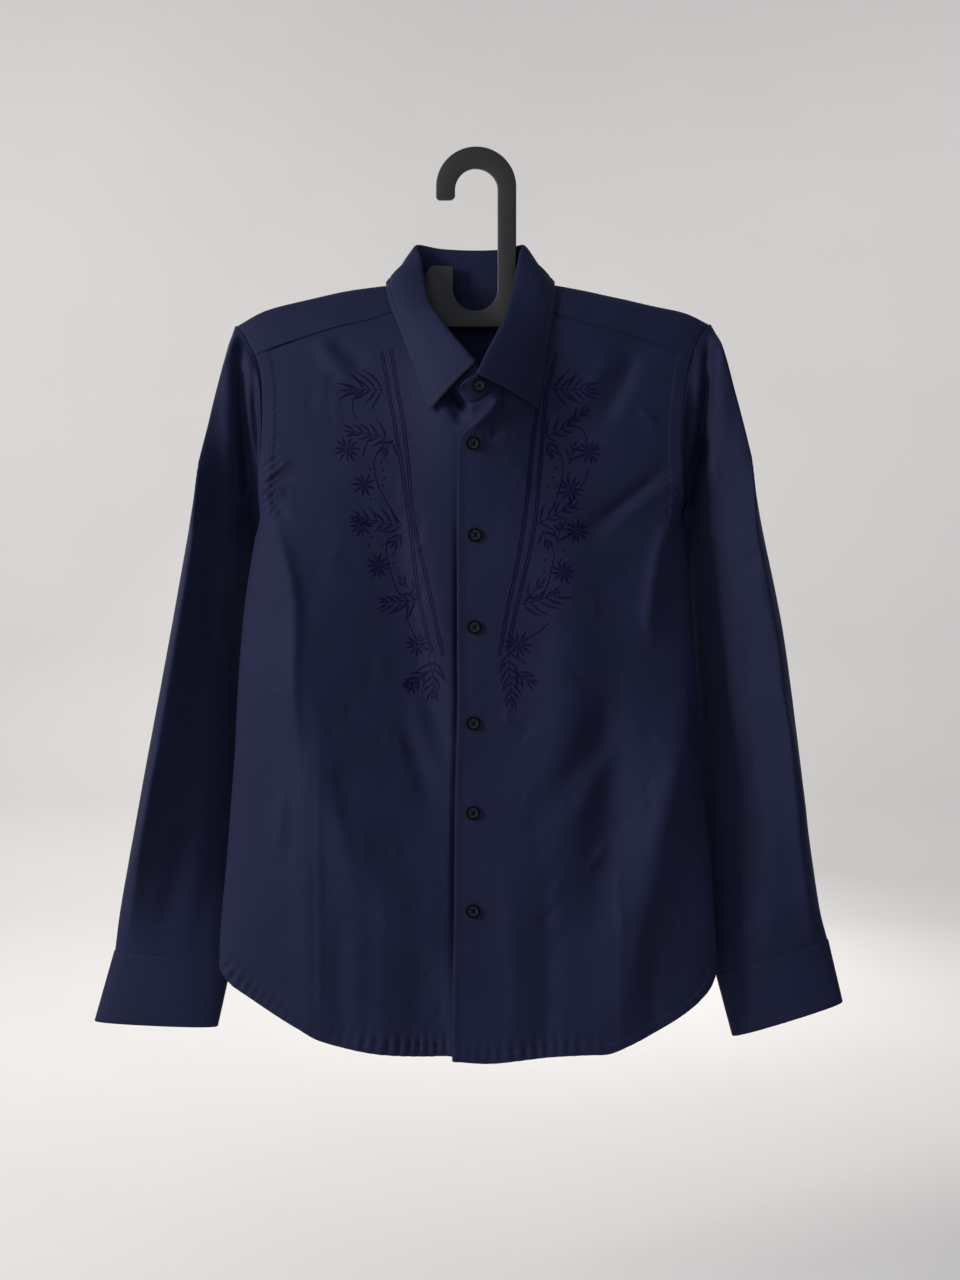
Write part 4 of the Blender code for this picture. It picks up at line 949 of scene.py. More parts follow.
# Collar: its rows from the back to the front end, as in the part's source
collarRows = {
    "left": [
        ("back", (0.0000, 0.0080, -0.0755), 0.0000, (0.0000, -0.1190, 0.0030)),
        ("back", (0.0260, 0.0078, -0.0742), 0.0330, (0.0400, -0.1180, 0.0030)),
        ("back", (0.0422, 0.0040, -0.0714), 0.0560, (0.0640, -0.1140, 0.0028)),
        ("ridge", (0.0406, -0.0055, -0.0815), 0.0605, (0.0716, -0.1055, 0.0)),
        ("front", (0.0398, -0.0092, -0.0866), -0.1120, (0.0724, -0.1110, 0.0026)),
        ("front", (0.0390, -0.0130, -0.0921), -0.1190, (0.0728, -0.1180, 0.0026)),
        ("front", (0.0342, -0.0240, -0.1161), -0.1350, (0.0716, -0.1335, 0.0026)),
        ("front", (0.0310, -0.0330, -0.1300), -0.1540, (0.0680, -0.1534, 0.0028)),
        ("front", (0.0284, -0.0410, -0.1421), -0.1690, (0.0645, -0.1750, 0.0032)),
        ("front", (0.0205, -0.0520, -0.1609), -0.1870, (0.0612, -0.1960, 0.0040)),
        ("front", (0.0117, -0.0615, -0.1791), -0.2050, (0.0584, -0.2150, 0.0052)),
        ("front", (0.0008, -0.0715, -0.2020), -0.2195, (0.0559, -0.2286, 0.0062)),
    ],
    "right": [
        ("back", (0.0000, 0.0080, -0.0755), 0.0000, (0.0000, -0.1190, 0.0030)),
        ("back", (0.0320, 0.0078, -0.0740), 0.0380, (0.0430, -0.1180, 0.0030)),
        ("back", (0.0534, 0.0040, -0.0712), 0.0590, (0.0740, -0.1140, 0.0028)),
        ("ridge", (0.0520, -0.0055, -0.0820), 0.0630, (0.0824, -0.1058, 0.0)),
        ("front", (0.0511, -0.0092, -0.0874), -0.1120, (0.0824, -0.1118, 0.0026)),
        ("front", (0.0501, -0.0130, -0.0933), -0.1190, (0.0818, -0.1180, 0.0026)),
        ("front", (0.0468, -0.0240, -0.1161), -0.1350, (0.0780, -0.1330, 0.0026)),
        ("front", (0.0431, -0.0330, -0.1323), -0.1500, (0.0701, -0.1523, 0.0028)),
        ("front", (0.0352, -0.0420, -0.1449), -0.1680, (0.0625, -0.1735, 0.0032)),
        ("front", (0.0252, -0.0510, -0.1598), -0.1850, (0.0540, -0.1950, 0.0040)),
        ("front", (0.0120, -0.0600, -0.1769), -0.2040, (0.0475, -0.2150, 0.0052)),
        ("front", (0.0000, -0.0660, -0.1915), -0.2205, (0.0416, -0.2324, 0.0062)),
    ],
}
# Ends of the band past the last row: fold x, y, z and neck seam x, z
bandEnds = {
    "left": [
        ((-0.0055, -0.0722, -0.2050), (0.0020, -0.2246)),
        ((-0.0105, -0.0722, -0.2080), (-0.0060, -0.2262)),
        ((-0.0139, -0.0722, -0.2130), (-0.0125, -0.2215)),
    ],
    "right": [
        ((-0.0065, -0.0640, -0.1975), (0.0020, -0.2250)),
        ((-0.0120, -0.0610, -0.2040), (-0.0080, -0.2240)),
    ],
}
collarCut = {
    "stepsPerRow": 10, "across": 56, "groove": 0.00045, "inset": 0.0055,
    "leafThick": 0.0007, "standThick": 0.0006,
}


def neckPoint(side, face, value):
    way, neck = sides[side]["way"], sides[side]["neck"]
    if face == "front":
        line = [(z, x) for x, z in neck] + [(-0.1085, sides[side]["neckTop"])]
        return onBody(way * readTable(line, value), value, "front")
    x = way * value
    drop = 0.0 if face == "ridge" else readTable(neckBack, value)
    return onBody(x, readTable(shoulderLine, x) - drop, "back")


# Fold, neck seam and leaf edge from the button end round the back to the buttonhole end
def collarSections():
    rows = []
    for side in ("right", "left"):
        way = sides[side]["way"]
        part = []
        for face, fold, neck, edge in collarRows[side]:
            f = Vector((way * fold[0], fold[1], fold[2]))
            n = neckPoint(side, face, neck)
            e = onBody(way * edge[0], edge[1], "back" if face == "back" else "front")
            if face == "ridge":
                e.y = -0.001
            e.y += edge[2] if face == "back" else -edge[2]
            if side == "left" and face == "front":
                n.y -= rideFront(n.x)
                e.y -= rideFront(edge[0])
            part.append((f, n, e))
        rows += reversed(part) if side == "right" else part[1:]
    return rows


def buildCollar():
    rows = collarSections()
    shares = [i / (len(rows) - 1) for i in range(len(rows))]
    steps = even(collarCut["stepsPerRow"] * (len(rows) - 1))
    tables = []
    for which in range(3):
        line = [(s, *row[which]) for s, row in zip(shares, rows)]
        tables.append([Vector([readTable(line, t, c) for c in (1, 2, 3)]) for t in steps])
    folds, necks, edges = tables

    bandFolds, bandNecks = list(folds), list(necks)
    for side in ("right", "left"):
        way = sides[side]["way"]
        ends = []
        for f, n in bandEnds[side]:
            ends.append((Vector((way * f[0], f[1], f[2])), onBody(way * n[0], n[1], "front")))
        if side == "left":
            for f, n in ends:
                n.y -= body["lap"]
        last = (folds[0], necks[0]) if side == "right" else (folds[-1], necks[-1])
        curveF = tracePath([last[0]] + [f for f, n in ends], even(8))[1:]
        curveN = tracePath([last[1]] + [n for f, n in ends], even(8))[1:]
        if side == "right":
            bandFolds = list(reversed(curveF)) + bandFolds
            bandNecks = list(reversed(curveN)) + bandNecks
        else:
            bandFolds += curveF
            bandNecks += curveN
    lines = []
    for f, n in zip(bandFolds, bandNecks):
        rise = (f - n).normalized()
        foot = n + rise * 0.0006
        head = f - rise * 0.0012
        lines.append([foot.lerp(head, t) for t in even(10)])
    centre = np.tile((0.0, -0.03, -0.13), (len(lines) * 11, 1))
    sheetShell("collarBand", lines, centre, outside=collarCut["standThick"],
               inside=collarCut["standThick"], replaced=["collar_stand"])

    lines = []
    for i, (f, n, e) in enumerate(zip(folds, necks, edges)):
        rise = (f - n).normalized()
        fall = (e - f).normalized()
        run = folds[min(i + 1, len(folds) - 1)] - folds[max(i - 1, 0)]
        out = rise.cross(run).normalized()
        out = out if out.dot(e - f) > 0 else -out
        face = (out - fall * out.dot(fall)).normalized()
        start = f + out * 0.0036 - rise * 0.0016
        shape = [f - rise * 0.0012, f + out * 0.0015 + rise * 0.0014, start]
        for t in (0.25, 0.5, 0.75, 1.0):
            shape.append(start.lerp(e, t) + face * (0.0026 * math.sin(math.pi * t)))
        reach = even(collarCut["across"])
        # finer near the free edge
        reach = [1.0 - (1.0 - r) ** 1.25 for r in reach]
        lines.append(tracePath(shape, reach))
    centre = np.tile((0.0, -0.01, -0.13), (len(lines) * len(lines[0]), 1))
    outside = []
    for line in lines:
        back = runOf(line[::-1])
        for col, p in enumerate(line):
            gaps = [back[len(line) - 1 - col], (p - lines[0][col]).length, (p - lines[-1][col]).length]
            inset = (min(gaps) - collarCut["inset"]) / 0.0010
            outside.append(collarCut["leafThick"] - collarCut["groove"] * math.exp(-inset * inset))
    sheetShell("collarLeaf", lines, centre, outside=outside,
               inside=collarCut["leafThick"], replaced=["collar_leaf"])
    return lines


leafLines = buildCollar()
print("collar made")

# Sleeves: share of the length, outer edge x, y, z, inner edge x, y, z, bulge front, bulge back
sleeveRows = {
    "left": [
        (0.00, 0.2166, 0.000, -0.1449, 0.1880, -0.012, -0.3230, 0.024, 0.018),
        (0.04, 0.2262, 0.000, -0.1640, 0.1903, -0.004, -0.3290, 0.025, 0.019),
        (0.12, 0.2376, 0.000, -0.2100, 0.1908, 0.006, -0.3440, 0.027, 0.018),
        (0.22, 0.2496, -0.002, -0.2680, 0.1930, 0.013, -0.3720, 0.028, 0.016),
        (0.34, 0.2642, -0.004, -0.3420, 0.1960, 0.018, -0.4150, 0.028, 0.013),
        (0.48, 0.2815, -0.006, -0.4300, 0.2000, 0.020, -0.4800, 0.027, 0.011),
        (0.62, 0.2934, -0.006, -0.5180, 0.2020, 0.019, -0.5500, 0.025, 0.010),
        (0.76, 0.3048, -0.004, -0.6080, 0.2060, 0.016, -0.6240, 0.022, 0.010),
        (0.90, 0.3168, -0.001, -0.6850, 0.2150, 0.011, -0.7010, 0.016, 0.009),
        (1.00, 0.3255, 0.002, -0.7180, 0.2232, 0.008, -0.7498, 0.011, 0.008),
    ],
    "right": [
        (0.00, 0.2222, 0.000, -0.1463, 0.1980, -0.012, -0.3230, 0.024, 0.018),
        (0.04, 0.2282, 0.000, -0.1650, 0.1998, -0.004, -0.3290, 0.025, 0.019),
        (0.12, 0.2408, 0.000, -0.2150, 0.2000, 0.008, -0.3440, 0.027, 0.018),
        (0.22, 0.2516, -0.002, -0.2720, 0.2025, 0.016, -0.3720, 0.028, 0.016),
        (0.34, 0.2652, -0.004, -0.3480, 0.2040, 0.020, -0.4150, 0.028, 0.013),
        (0.48, 0.2815, -0.006, -0.4400, 0.2055, 0.021, -0.4800, 0.027, 0.011),
        (0.62, 0.2985, -0.006, -0.5300, 0.2075, 0.020, -0.5500, 0.025, 0.010),
        (0.76, 0.3138, -0.004, -0.6120, 0.2120, 0.018, -0.6240, 0.022, 0.010),
        (0.90, 0.3278, -0.001, -0.6850, 0.2200, 0.012, -0.6960, 0.016, 0.009),
        (1.00, 0.3342, 0.002, -0.7280, 0.2270, 0.008, -0.7370, 0.011, 0.008),
    ],
}
# Free edges of the cuffs: outer x, y, z, inner x, y, z, bulge front, bulge back
cuffEdges = {
    "left": (0.3390, 0.002, -0.7743, 0.2388, 0.008, -0.8072, 0.010, 0.008),
    "right": (0.3526, 0.002, -0.7918, 0.2408, 0.008, -0.7984, 0.010, 0.008),
}
sleeveCreases = {
    "right": [
        (2.2, 12, 4, 1.4, [(-207, -166), (-200, -185), (-196.5, -210), (-195, -250), (-196, -300)]),
        (2.6, 2.6, 8, 1.4, [(-215, -156), (-219, -191), (-219.5, -243), (-220.5, -323), (-223, -345)]),
        (2.2, 9, 5, 1.6, [(-225, -325), (-228, -378), (-225, -427), (-226, -493), (-229, -540)]),
        (2.0, 2.4, 6, 1.4, [(-210, -160), (-207.3, -183), (-207.9, -215), (-207.3, -243), (-202.3, -273),
                            (-195.3, -303)]),
        (-2.4, 3.5, 4, 1.8, [(-218, -165), (-217, -200), (-216, -250), (-213, -292)]),
        (1.6, 5, 7, 1.5, [(-256, -312), (-257, -353), (-271, -438), (-281, -501), (-287, -526)]),
        (2.6, 3, 9, 1.4, [(-286, -520), (-295, -564), (-306, -614), (-319, -655), (-326, -690)]),
        (-1.4, 9, 9, 2, [(-240, -330), (-248, -420), (-258, -500), (-262, -560)]),
        (-1.2, 8, 10, 2, [(-262, -560), (-276, -640), (-290, -700), (-294, -735)]),
        (0.9, 8, 8, 2, [(-248, -600), (-258, -660), (-270, -735)]),
        (0.8, 4, 5, 1.6, [(-268, -700), (-285, -706), (-300, -702)]),
    ],
    "left": [
        # the deep gap beside the body, up to the fold of the sleeve
        (-3.2, 8, 2.8, 2.2, [(200.5, -262), (200.5, -350), (201.5, -413), (205.5, -471), (209.5, -560),
                             (213.5, -640), (217, -715)]),
        (-3.0, 4, 3, 1.6, [(216, -160), (213, -218), (207, -260), (193, -311)]),
        (1.4, 4, 5, 1.8, [(206, -175), (203, -220), (198, -262), (190, -300)]),
        (1.2, 6, 8, 2, [(226, -190), (224, -250), (216, -310), (210, -360)]),
        (2.2, 8, 4.5, 1.4, [(254, -360), (258, -383), (261, -402), (268, -419), (275, -436)]),
        (3.0, 9, 3.0, 1.4, [(270, -446), (269, -454), (276, -477), (281, -500), (287, -521),
                            (293, -547), (301, -594), (307, -640)]),
        (-1.2, 7, 9, 2, [(246, -420), (250, -480), (256, -540), (262, -600)]),
        (-1.0, 8, 8, 2, [(284, -600), (290, -650), (296, -700), (298, -740)]),
        (0.8, 8, 8, 2, [(262, -610), (270, -670), (276, -735)]),
        (0.8, 3.5, 4, 1.6, [(296, -668), (308, -675), (318, -676)]),
        (0.8, 3.5, 4, 1.6, [(298, -702), (310, -709), (322, -708)]),
    ],
}
sleeveCut = {
    "around": 104, "along": 210, "thick": 0.0005, "skew": {"right": 0.85, "left": 0.80}, "tuckIn": 0.0032,
    "peakTop": 0.985, "peak": 0.74, "headLift": 0.004,
    "headFlat": {"right": 0.70, "left": 1.0}, "tuckBack": 0.007,
    "creaseGain": 1.3, "wear": 30,
}


# A ring round a sleeve or cuff. Angle 0 is the outer edge, a quarter turn is the front.
def sleeveRing(way, row, angles, skew=0.0, peak=0.84, lift=0.0):
    xo, yo, zo, xi, yi, zi, front, back = row
    outer = Vector((way * xo, yo, zo))
    inner = Vector((way * xi, yi, zi))
    mid = (outer + inner) / 2
    ring = []
    for a in angles:
        c, s = math.cos(a), math.sin(a)
        cc = math.copysign(abs(c) ** 0.86, c)
        ss = math.copysign(abs(s) ** 0.86, s)
        p = mid + (outer - mid) * cc
        if s > 0:
            rise = math.sqrt(min(1.0, (1.0 - c) / (1.0 - peak)))
            wedge = rise * (min(1.0, (1.0 + c) / (1.0 + peak))) ** 0.9
            p.y -= front * lerp(ss, 1.2 * wedge, skew)
            p.y -= lift * rise * math.exp(-((c - peak) / 0.45) ** 2)
        else:
            p.y -= back * ss
        ring.append(p)
    return ring


def armholeRing(side, angles):
    way, table = sides[side]["way"], sides[side]["armhole"]
    lines = {}
    for face, col in (("front", 1), ("back", 2)):
        line = []
        for drop in (0.0, 0.001, 0.003, 0.006, 0.011, 0.018, 0.026, 0.036):
            x, z = armholeAt(side, drop, face)
            line.append(onBody(way * x, z, face))
        low = line[-1].z
        for t in even(8)[1:]:
            z = lerp(low, body["underarmZ"], t)
            line.append(onBody(way * readTable(table, z, col), z, face))
        line[-1].y = readTable(bodyDepth, body["underarmZ"], 3)
        lines[face] = line
    front = tracePath(lines["front"], [a / math.pi for a in angles if a <= math.pi])
    back = tracePath(lines["back"], [2 - a / math.pi for a in angles if a > math.pi])
    return front + back


def sleevePoints(side, shares, angles):
    way, table = sides[side]["way"], sleeveRows[side]
    turned = [a % (2 * math.pi) for a in angles]
    hole = armholeRing(side, turned)
    start = sleeveRing(way, [readTable(table, 0.0, c) for c in range(1, 9)], angles)
    rows = []
    for share in shares:
        skew = sleeveCut["skew"][side] * ease(share / 0.045) * ease((1.0 - share) / 0.15)
        peak = lerp(sleeveCut["peakTop"], sleeveCut["peak"], ease((share - 0.22) / 0.12))
        lift = sleeveCut["headLift"] * ease(share / 0.06) * ease((0.36 - share) / 0.16)
        row = [readTable(table, share, c) for c in range(1, 9)]
        row[4] += sleeveCut["tuckBack"] * ease(share / 0.20) * ease((1.0 - share) / 0.25)
        row[6] *= lerp(1.0, sleeveCut["headFlat"][side], ease(share / 0.05) * ease((0.30 - share) / 0.15))
        ring = sleeveRing(way, row, angles, skew, peak, lift)
        keep = 1.0 - ease(share / 0.30)
        line = []
        for p, h, s in zip(ring, hole, start):
            spot = p + (h - s) * keep
            spot.x += way * body["sleeveOff"]
            spot.x -= way * sleeveCut["tuckIn"] * max(0.0, -math.cos(angles[len(line)])) ** 6 * (
                ease((0.20 - share) / 0.12))
            if spot.y < 0.5 * (ring[0].y + ring[-1].y):
                calm = ease(share / 0.03) * ease((1.0 - share) / 0.08)
                spot.y -= largeFoldHeight(side, spot.x, spot.z) * calm
            line.append(spot)
        rows.append(line)
    return rows


def buildSleeve(side):
    way = sides[side]["way"]
    count = sleeveCut["around"]
    angles = [2 * math.pi * i / count for i in range(count)]
    shares = even(sleeveCut["along"])
    rows = sleevePoints(side, shares, angles)
    xs = np.array([[p.x for p in row] for row in rows])
    zs = np.array([[p.z for p in row] for row in rows])
    extra = creaseHeight(sleeveCreases[side], xs, zs) * sleeveCut["creaseGain"]
    inner, outer = sorted((way * 215, way * 320))
    worn = smallCreases(31 + way, sleeveCut["wear"], inner, outer, -720, -200)
    extra = extra + creaseHeight(worn, xs, zs)
    extra = extra + restless(xs * 1.6, zs, 8.0 + way, 0.0004)
    for j, share in enumerate(shares):
        calm = ease(share / 0.010) * ease((1.0 - share) / 0.05)
        for i, a in enumerate(angles):
            face = math.sin(a)
            if face > 0:
                rows[j][i].y -= extra[j, i] * calm * min(1.0, face * 2.2) ** 0.7
            else:
                rows[j][i].y += 0.5 * extra[j, i] * calm * min(1.0, -face * 1.5)
    # The sleeve head lies under the body's edge, and the wrist under the cuff
    first = []
    for p in rows[0]:
        middle = readTable(bodyDepth, p.z, 3)
        first.append(Vector((p.x - way * 0.0040, lerp(p.y, middle, 0.055), p.z - 0.0006)))
    rows = [first] + rows
    sheetShell("sleeve_" + side + "_cloth", rows, ringCentres(rows), loop=True,
               outside=sleeveCut["thick"], inside=sleeveCut["thick"], replaced=["sleeve_" + side])


# Start and turn are the degrees where the cuff begins and how far round it goes
cuffCut = {"around": 150, "down": 22, "thick": 0.0008, "start": 235, "turn": 412, "overlap": 0.0021}


def cuffRing(side, t, steps):
    top = [readTable(sleeveRows[side], 1.0, c) for c in range(1, 9)]
    row = [lerp(a, b, t) for a, b in zip(top, cuffEdges[side])]
    return sleeveRing(sides[side]["way"], row, steps)


def buildCuff(side):
    way = sides[side]["way"]
    steps = [math.radians(cuffCut["start"] + cuffCut["turn"] * t) for t in even(cuffCut["around"])]
    rows = []
    for t in even(cuffCut["down"]):
        ring = cuffRing(side, t, steps)
        whole = ring[:int(len(ring) * 0.84)]
        mid = sum(whole, Vector()) / len(whole)
        line = []
        for n, p in enumerate(ring):
            p.x += way * body["sleeveOff"]
            p.z += 0.0012 * (1 - t)
            place = 30 * n / cuffCut["around"]
            lift = cuffCut["overlap"] * ease((place - 24) / 2.0)
            p.y += lift if p.y > mid.y else -lift
            off = p - mid
            p += Vector((off.x * 0.004, off.y * 0.05, 0))
            line.append(p)
        rows.append(line)
    sheetShell("cuff_" + side + "_band", rows, ringCentres(rows), outside=cuffCut["thick"],
               inside=cuffCut["thick"], replaced=["cuff_" + side])


def buildSleevePlacket(side):
    turns = [math.radians(a) for a in (237.5, 239, 243, 247, 251, 255, 256.5)]
    rows = sleevePoints(side, [lerp(0.76, 0.998, t) for t in even(40)], turns)
    for line in rows:
        for p in line:
            p.y += 0.0016
    sheetShell("sleevePlacket_" + side + "_strip", rows, (0, 1, 0), outside=0.0007, inside=0.0007,
               replaced=["sleeve_placket_" + side])


for side in sides:
    buildSleeve(side)
    buildCuff(side)
    buildSleevePlacket(side)
print("sleeves and cuffs made")

# Buttons

buttonCut = {"radius": 0.0063, "thick": 0.0025, "around": 56, "holeSteps": 14}
buttonSpots = [
    (-0.0026, -0.2617), (-0.0011, -0.3432), (-0.0017, -0.4263),
    (-0.0026, -0.5132), (-0.0029, -0.5940), (-0.0028, -0.6830),
]
collarButtonSpot = (0.0026, -0.2130)
buttonThreads = []


# A round button with a raised rim and four holes, its back on the given spot
def buildButton(name, node, spot, normal, radius):
    count, holes, thick = buttonCut["around"], buttonCut["holeSteps"], buttonCut["thick"]
    side = Vector((0, 0, 1)).cross(normal).normalized()
    up = normal.cross(side)

    def at(x, y, h):
        return spot + side * x + up * y + normal * h

    ring = [(math.cos(2 * math.pi * i / count), math.sin(2 * math.pi * i / count)) for i in range(count)]
    inner = radius * 0.66
    flat = [Vector((c * inner, s * inner)) for c, s in ring]
    loops = [list(range(count))]
    for qx, qy in ((1, 1), (-1, 1), (-1, -1), (1, -1)):
        start = len(flat)
        for k in range(holes):
            a = -2 * math.pi * k / holes
            flat.append(Vector((qx * radius * 0.24 + math.cos(a) * radius * 0.125,
                                qy * radius * 0.24 + math.sin(a) * radius * 0.125)))
        loops.append(list(range(start, start + holes)))
    edges = []
    for loop in loops:
        edges += list(zip(loop, loop[1:] + loop[:1]))
    triangles = geometry.delaunay_2d_cdt(flat, edges, [], 0, 1e-9)[2]
    keep = []
    for face in triangles:
        owner = [next(n for n, loop in enumerate(loops) if i in loop) for i in face]
        if not (owner[0] > 0 and owner.count(owner[0]) == 3):
            keep.append(tuple(face))
    # Rows of the profile: share of the radius, share of the height
    profile = [(0.66, 0.60), (0.70, 0.64), (0.75, 0.78), (0.80, 0.93), (0.86, 1.0), (0.92, 0.97),
               (0.97, 0.86), (1.0, 0.66), (0.99, 0.42), (0.94, 0.18), (0.86, 0.04), (0.66, 0.0)]
    verts, starts = [], []
    for share, height in profile:
        starts.append(len(verts))
        verts += [at(c * radius * share, s * radius * share, height * thick) for c, s in ring]
    holeTop = len(verts)
    verts += [at(p.x, p.y, thick * 0.60) for p in flat[count:]]
    holeLow = len(verts)
    verts += [at(p.x, p.y, 0.0) for p in flat[count:]]
    faces = []
    for a, b in zip(starts, starts[1:]):
        for i in range(count):
            k = (i + 1) % count
            faces.append((a + i, a + k, b + k, b + i))
    for face in keep:
        faces.append(tuple(i if i < count else holeTop + i - count for i in face))
        low = [starts[-1] + i if i < count else holeLow + i - count for i in face]
        faces.append(tuple(reversed(low)))
    for loop in loops[1:]:
        for i, k in zip(loop, loop[1:] + loop[:1]):
            near, far = i - count, k - count
            faces.append((holeTop + near, holeTop + far, holeLow + far, holeLow + near))
    made = addPiece(name, verts, faces, looks["button"], replaced=[node], slot="button_plastic")
    made.data.set_sharp_from_angle(angle=math.radians(50))
    # The top of the face inside the rim gets the lighter grey painted reflection; the rest keeps the
    # near-black painted shade.
    made.data.materials.append(looks["buttonFaceReflection"])
    for face in made.data.polygons:
        middle = sum((Vector(verts[i]) for i in face.vertices), Vector()) / len(face.vertices) - spot
        level = middle.dot(normal)
        if level > thick * 0.5 and (middle - normal * level).length < radius * 0.70:
            face.material_index = 1
    # Thread sewn in a cross from hole to hole
    reach = radius * 0.26
    for hand in (1, -1):
        for n in (-1, 0, 1):
            shift = n * 0.00038
            first = at(-reach + shift, -hand * reach - hand * shift, thick * 0.60)
            last = at(reach + shift, hand * reach - hand * shift, thick * 0.60)
            buttonThreads.append((first, last, normal))


def buildButtons():
    for n, (x, z) in enumerate(buttonSpots):
        spot = onBody(x, z, "front")
        slope = (bodyY(x, z + 0.004, "front") - bodyY(x, z - 0.004, "front")) / 0.008
        normal = Vector((0, -1, slope)).normalized()
        spot.y -= body["lap"]
        spot += normal * 0.0011
        buildButton("frontButton_%d" % (n + 2), "button_%d" % (n + 2), spot, normal, buttonCut["radius"])
    normal = Vector((0, -1, 0.12)).normalized()
    spot = Vector((collarButtonSpot[0], -0.0715, collarButtonSpot[1])) - normal * 0.0002
    buildButton("collarButton", "button_1", spot, normal, buttonCut["radius"] * 0.95)
    for side in sides:
        spot = cuffRing(side, 0.5, [math.radians(268)])[0]
        spot.x += sides[side]["way"] * body["sleeveOff"]
        spot.y += 0.0031
        buildButton("cuffButton_" + side + "_fine", "cuff_button_" + side, spot,
                    Vector((0, 1, 0)), buttonCut["radius"] * 0.92)


buildButtons()
print("buttons made")

# Hanger: one flat moulding

hangerCut = {"half": 0.0025, "round": 0.0011, "hookRadius": 0.0197}
stemRight = [
    (-0.0211, -0.1115), (-0.0211, -0.0908), (-0.0409, -0.0898), (-0.0482, -0.0979),
    (-0.0492, -0.1065), (-0.0540, -0.1122),
]
stemLeft = [(0.0520, -0.1122), (0.0430, -0.1085), (0.0385, -0.1020), (0.0373, -0.0930)]
# Tops of the arms under the shoulders, and their turned tips: x, drop below the shoulder line
armTopRight = [
    (-0.0660, 0.0031), (-0.0950, 0.0031), (-0.1250, 0.0031), (-0.1550, 0.0031),
    (-0.1850, 0.0031), (-0.2040, 0.0045), (-0.2075, 0.0130),
]
armTopLeft = [
    (0.2020, 0.0130), (0.1985, 0.0045), (0.1800, 0.0031), (0.1500, 0.0031),
    (0.1200, 0.0031), (0.0900, 0.0031), (0.0660, 0.0031),
]
armBottom = [
    (-0.2010, -0.1600), (-0.1500, -0.1490), (-0.1000, -0.1430), (-0.0600, -0.1465),
    (-0.0300, -0.1477), (0.0300, -0.1477), (0.0600, -0.1465), (0.0950, -0.1430),
    (0.1450, -0.1490), (0.1950, -0.1590),
]


def hangerOutline():
    outline = []

    def arc(cx, cz, r, start, end, steps):
        for i in range(steps + 1):
            a = math.radians(lerp(start, end, i / steps))
            outline.append(Vector((cx + r * math.cos(a), cz + r * math.sin(a))))

    arc(0.0002, -0.0197, hangerCut["hookRadius"], 180, 0, 48)
    outline.append(Vector((0.0199, -0.1115)))
    arc(-0.0006, -0.1115, 0.0205, -6, -174, 40)
    outline.extend(Vector(p) for p in stemRight)
    outline.extend(Vector((x, readTable(shoulderLine, x) - drop)) for x, drop in armTopRight)
    outline.extend(Vector(p) for p in armBottom)
    outline.extend(Vector((x, readTable(shoulderLine, x) - drop)) for x, drop in armTopLeft)
    outline.extend(Vector(p) for p in stemLeft)
    arc(0.0001, -0.0168, 0.0373, 0, 180, 60)
    arc(-0.0332, -0.0250, 0.0042, 180, 270, 8)
    arc(-0.0237, -0.0250, 0.0042, 270, 360, 8)
    return outline


def buildHanger():
    outline = hangerOutline()
    count = len(outline)
    turn = sum(a.x * b.y - a.y * b.x for a, b in zip(outline, outline[1:] + outline[:1]))
    inward = []
    for i in range(count):
        way = (outline[(i + 1) % count] - outline[i - 1]).normalized()
        side = Vector((way.y, -way.x))
        inward.append(-side if turn > 0 else side)
    half, rounded = hangerCut["half"], hangerCut["round"]
    levels = []
    for a in (0, 30, 60, 90):
        angle = math.radians(a)
        levels.append((-half + rounded * (1 - math.sin(angle)), rounded * (1 - math.cos(angle))))
    levels = list(reversed(levels))
    levels += [(-y, inset) for y, inset in reversed(levels)]
    verts = []
    for y, inset in levels:
        verts += [Vector((p.x + s.x * inset, y, p.y + s.y * inset)) for p, s in zip(outline, inward)]
    faces = []
    for level in range(len(levels) - 1):
        low, high = level * count, (level + 1) * count
        for i in range(count):
            k = (i + 1) % count
            faces.append((low + i, low + k, high + k, high + i))
    small = [p + s * rounded for p, s in zip(outline, inward)]
    edges = [(i, (i + 1) % count) for i in range(count)]
    for face in geometry.delaunay_2d_cdt(small, edges, [], 1, 1e-9)[2]:
        faces.append(tuple(face))
        faces.append(tuple((len(levels) - 1) * count + i for i in reversed(face)))
    made = addPiece("flatHanger", verts, faces, looks["hanger"], replaced=["hanger"], slot="hanger_plastic")
    made.data.set_sharp_from_angle(angle=math.radians(40))


buildHanger()
print("hanger made")

# Sewing: every stitch is a low lens of thread that lies on its cloth

threadCut = {
    "length": 0.0022, "gap": 0.0006, "width": 0.00060, "height": 0.00034,
    "cuffTop": 0.0030, "cuffEdge": 0.0060,
    "buttonhole": 0.0074, "holeWidth": 0.0015, "holeStep": 0.00055,
}
bags = {}


def bagOf(name):
    return bags.setdefault(name, {"verts": [], "faces": []})


# One stitch from a spot to the next, each spot a place and the way its cloth faces
def addStitch(bag, first, last, width, height):
    run = last[0] - first[0]
    up = (first[1] + last[1]).normalized()
    side = run.cross(up).normalized() * (width / 2)
    start = len(bag["verts"])
    for t, lift, wide in ((0.0, -0.2, 0.4), (0.28, 0.9, 1.0), (0.72, 0.9, 1.0), (1.0, -0.2, 0.4)):
        p = first[0] + run * t
        foot = p - up * height * 0.4
        bag["verts"] += [foot - side * wide, p + up * height * lift, foot + side * wide]
    for k in range(3):
        n = start + 3 * k
        bag["faces"] += [(n, n + 1, n + 4, n + 3), (n + 1, n + 2, n + 5, n + 4)]


# Spots at the wanted lengths along a row of spots
def walkSpots(spots, wants):
    run = runOf([s[0] for s in spots])
    columns = [np.interp(wants, run, [s[part][axis] for s in spots])
               for part in (0, 1) for axis in range(3)]
    return [(Vector(row[:3]), Vector(row[3:]).normalized()) for row in zip(*columns)]


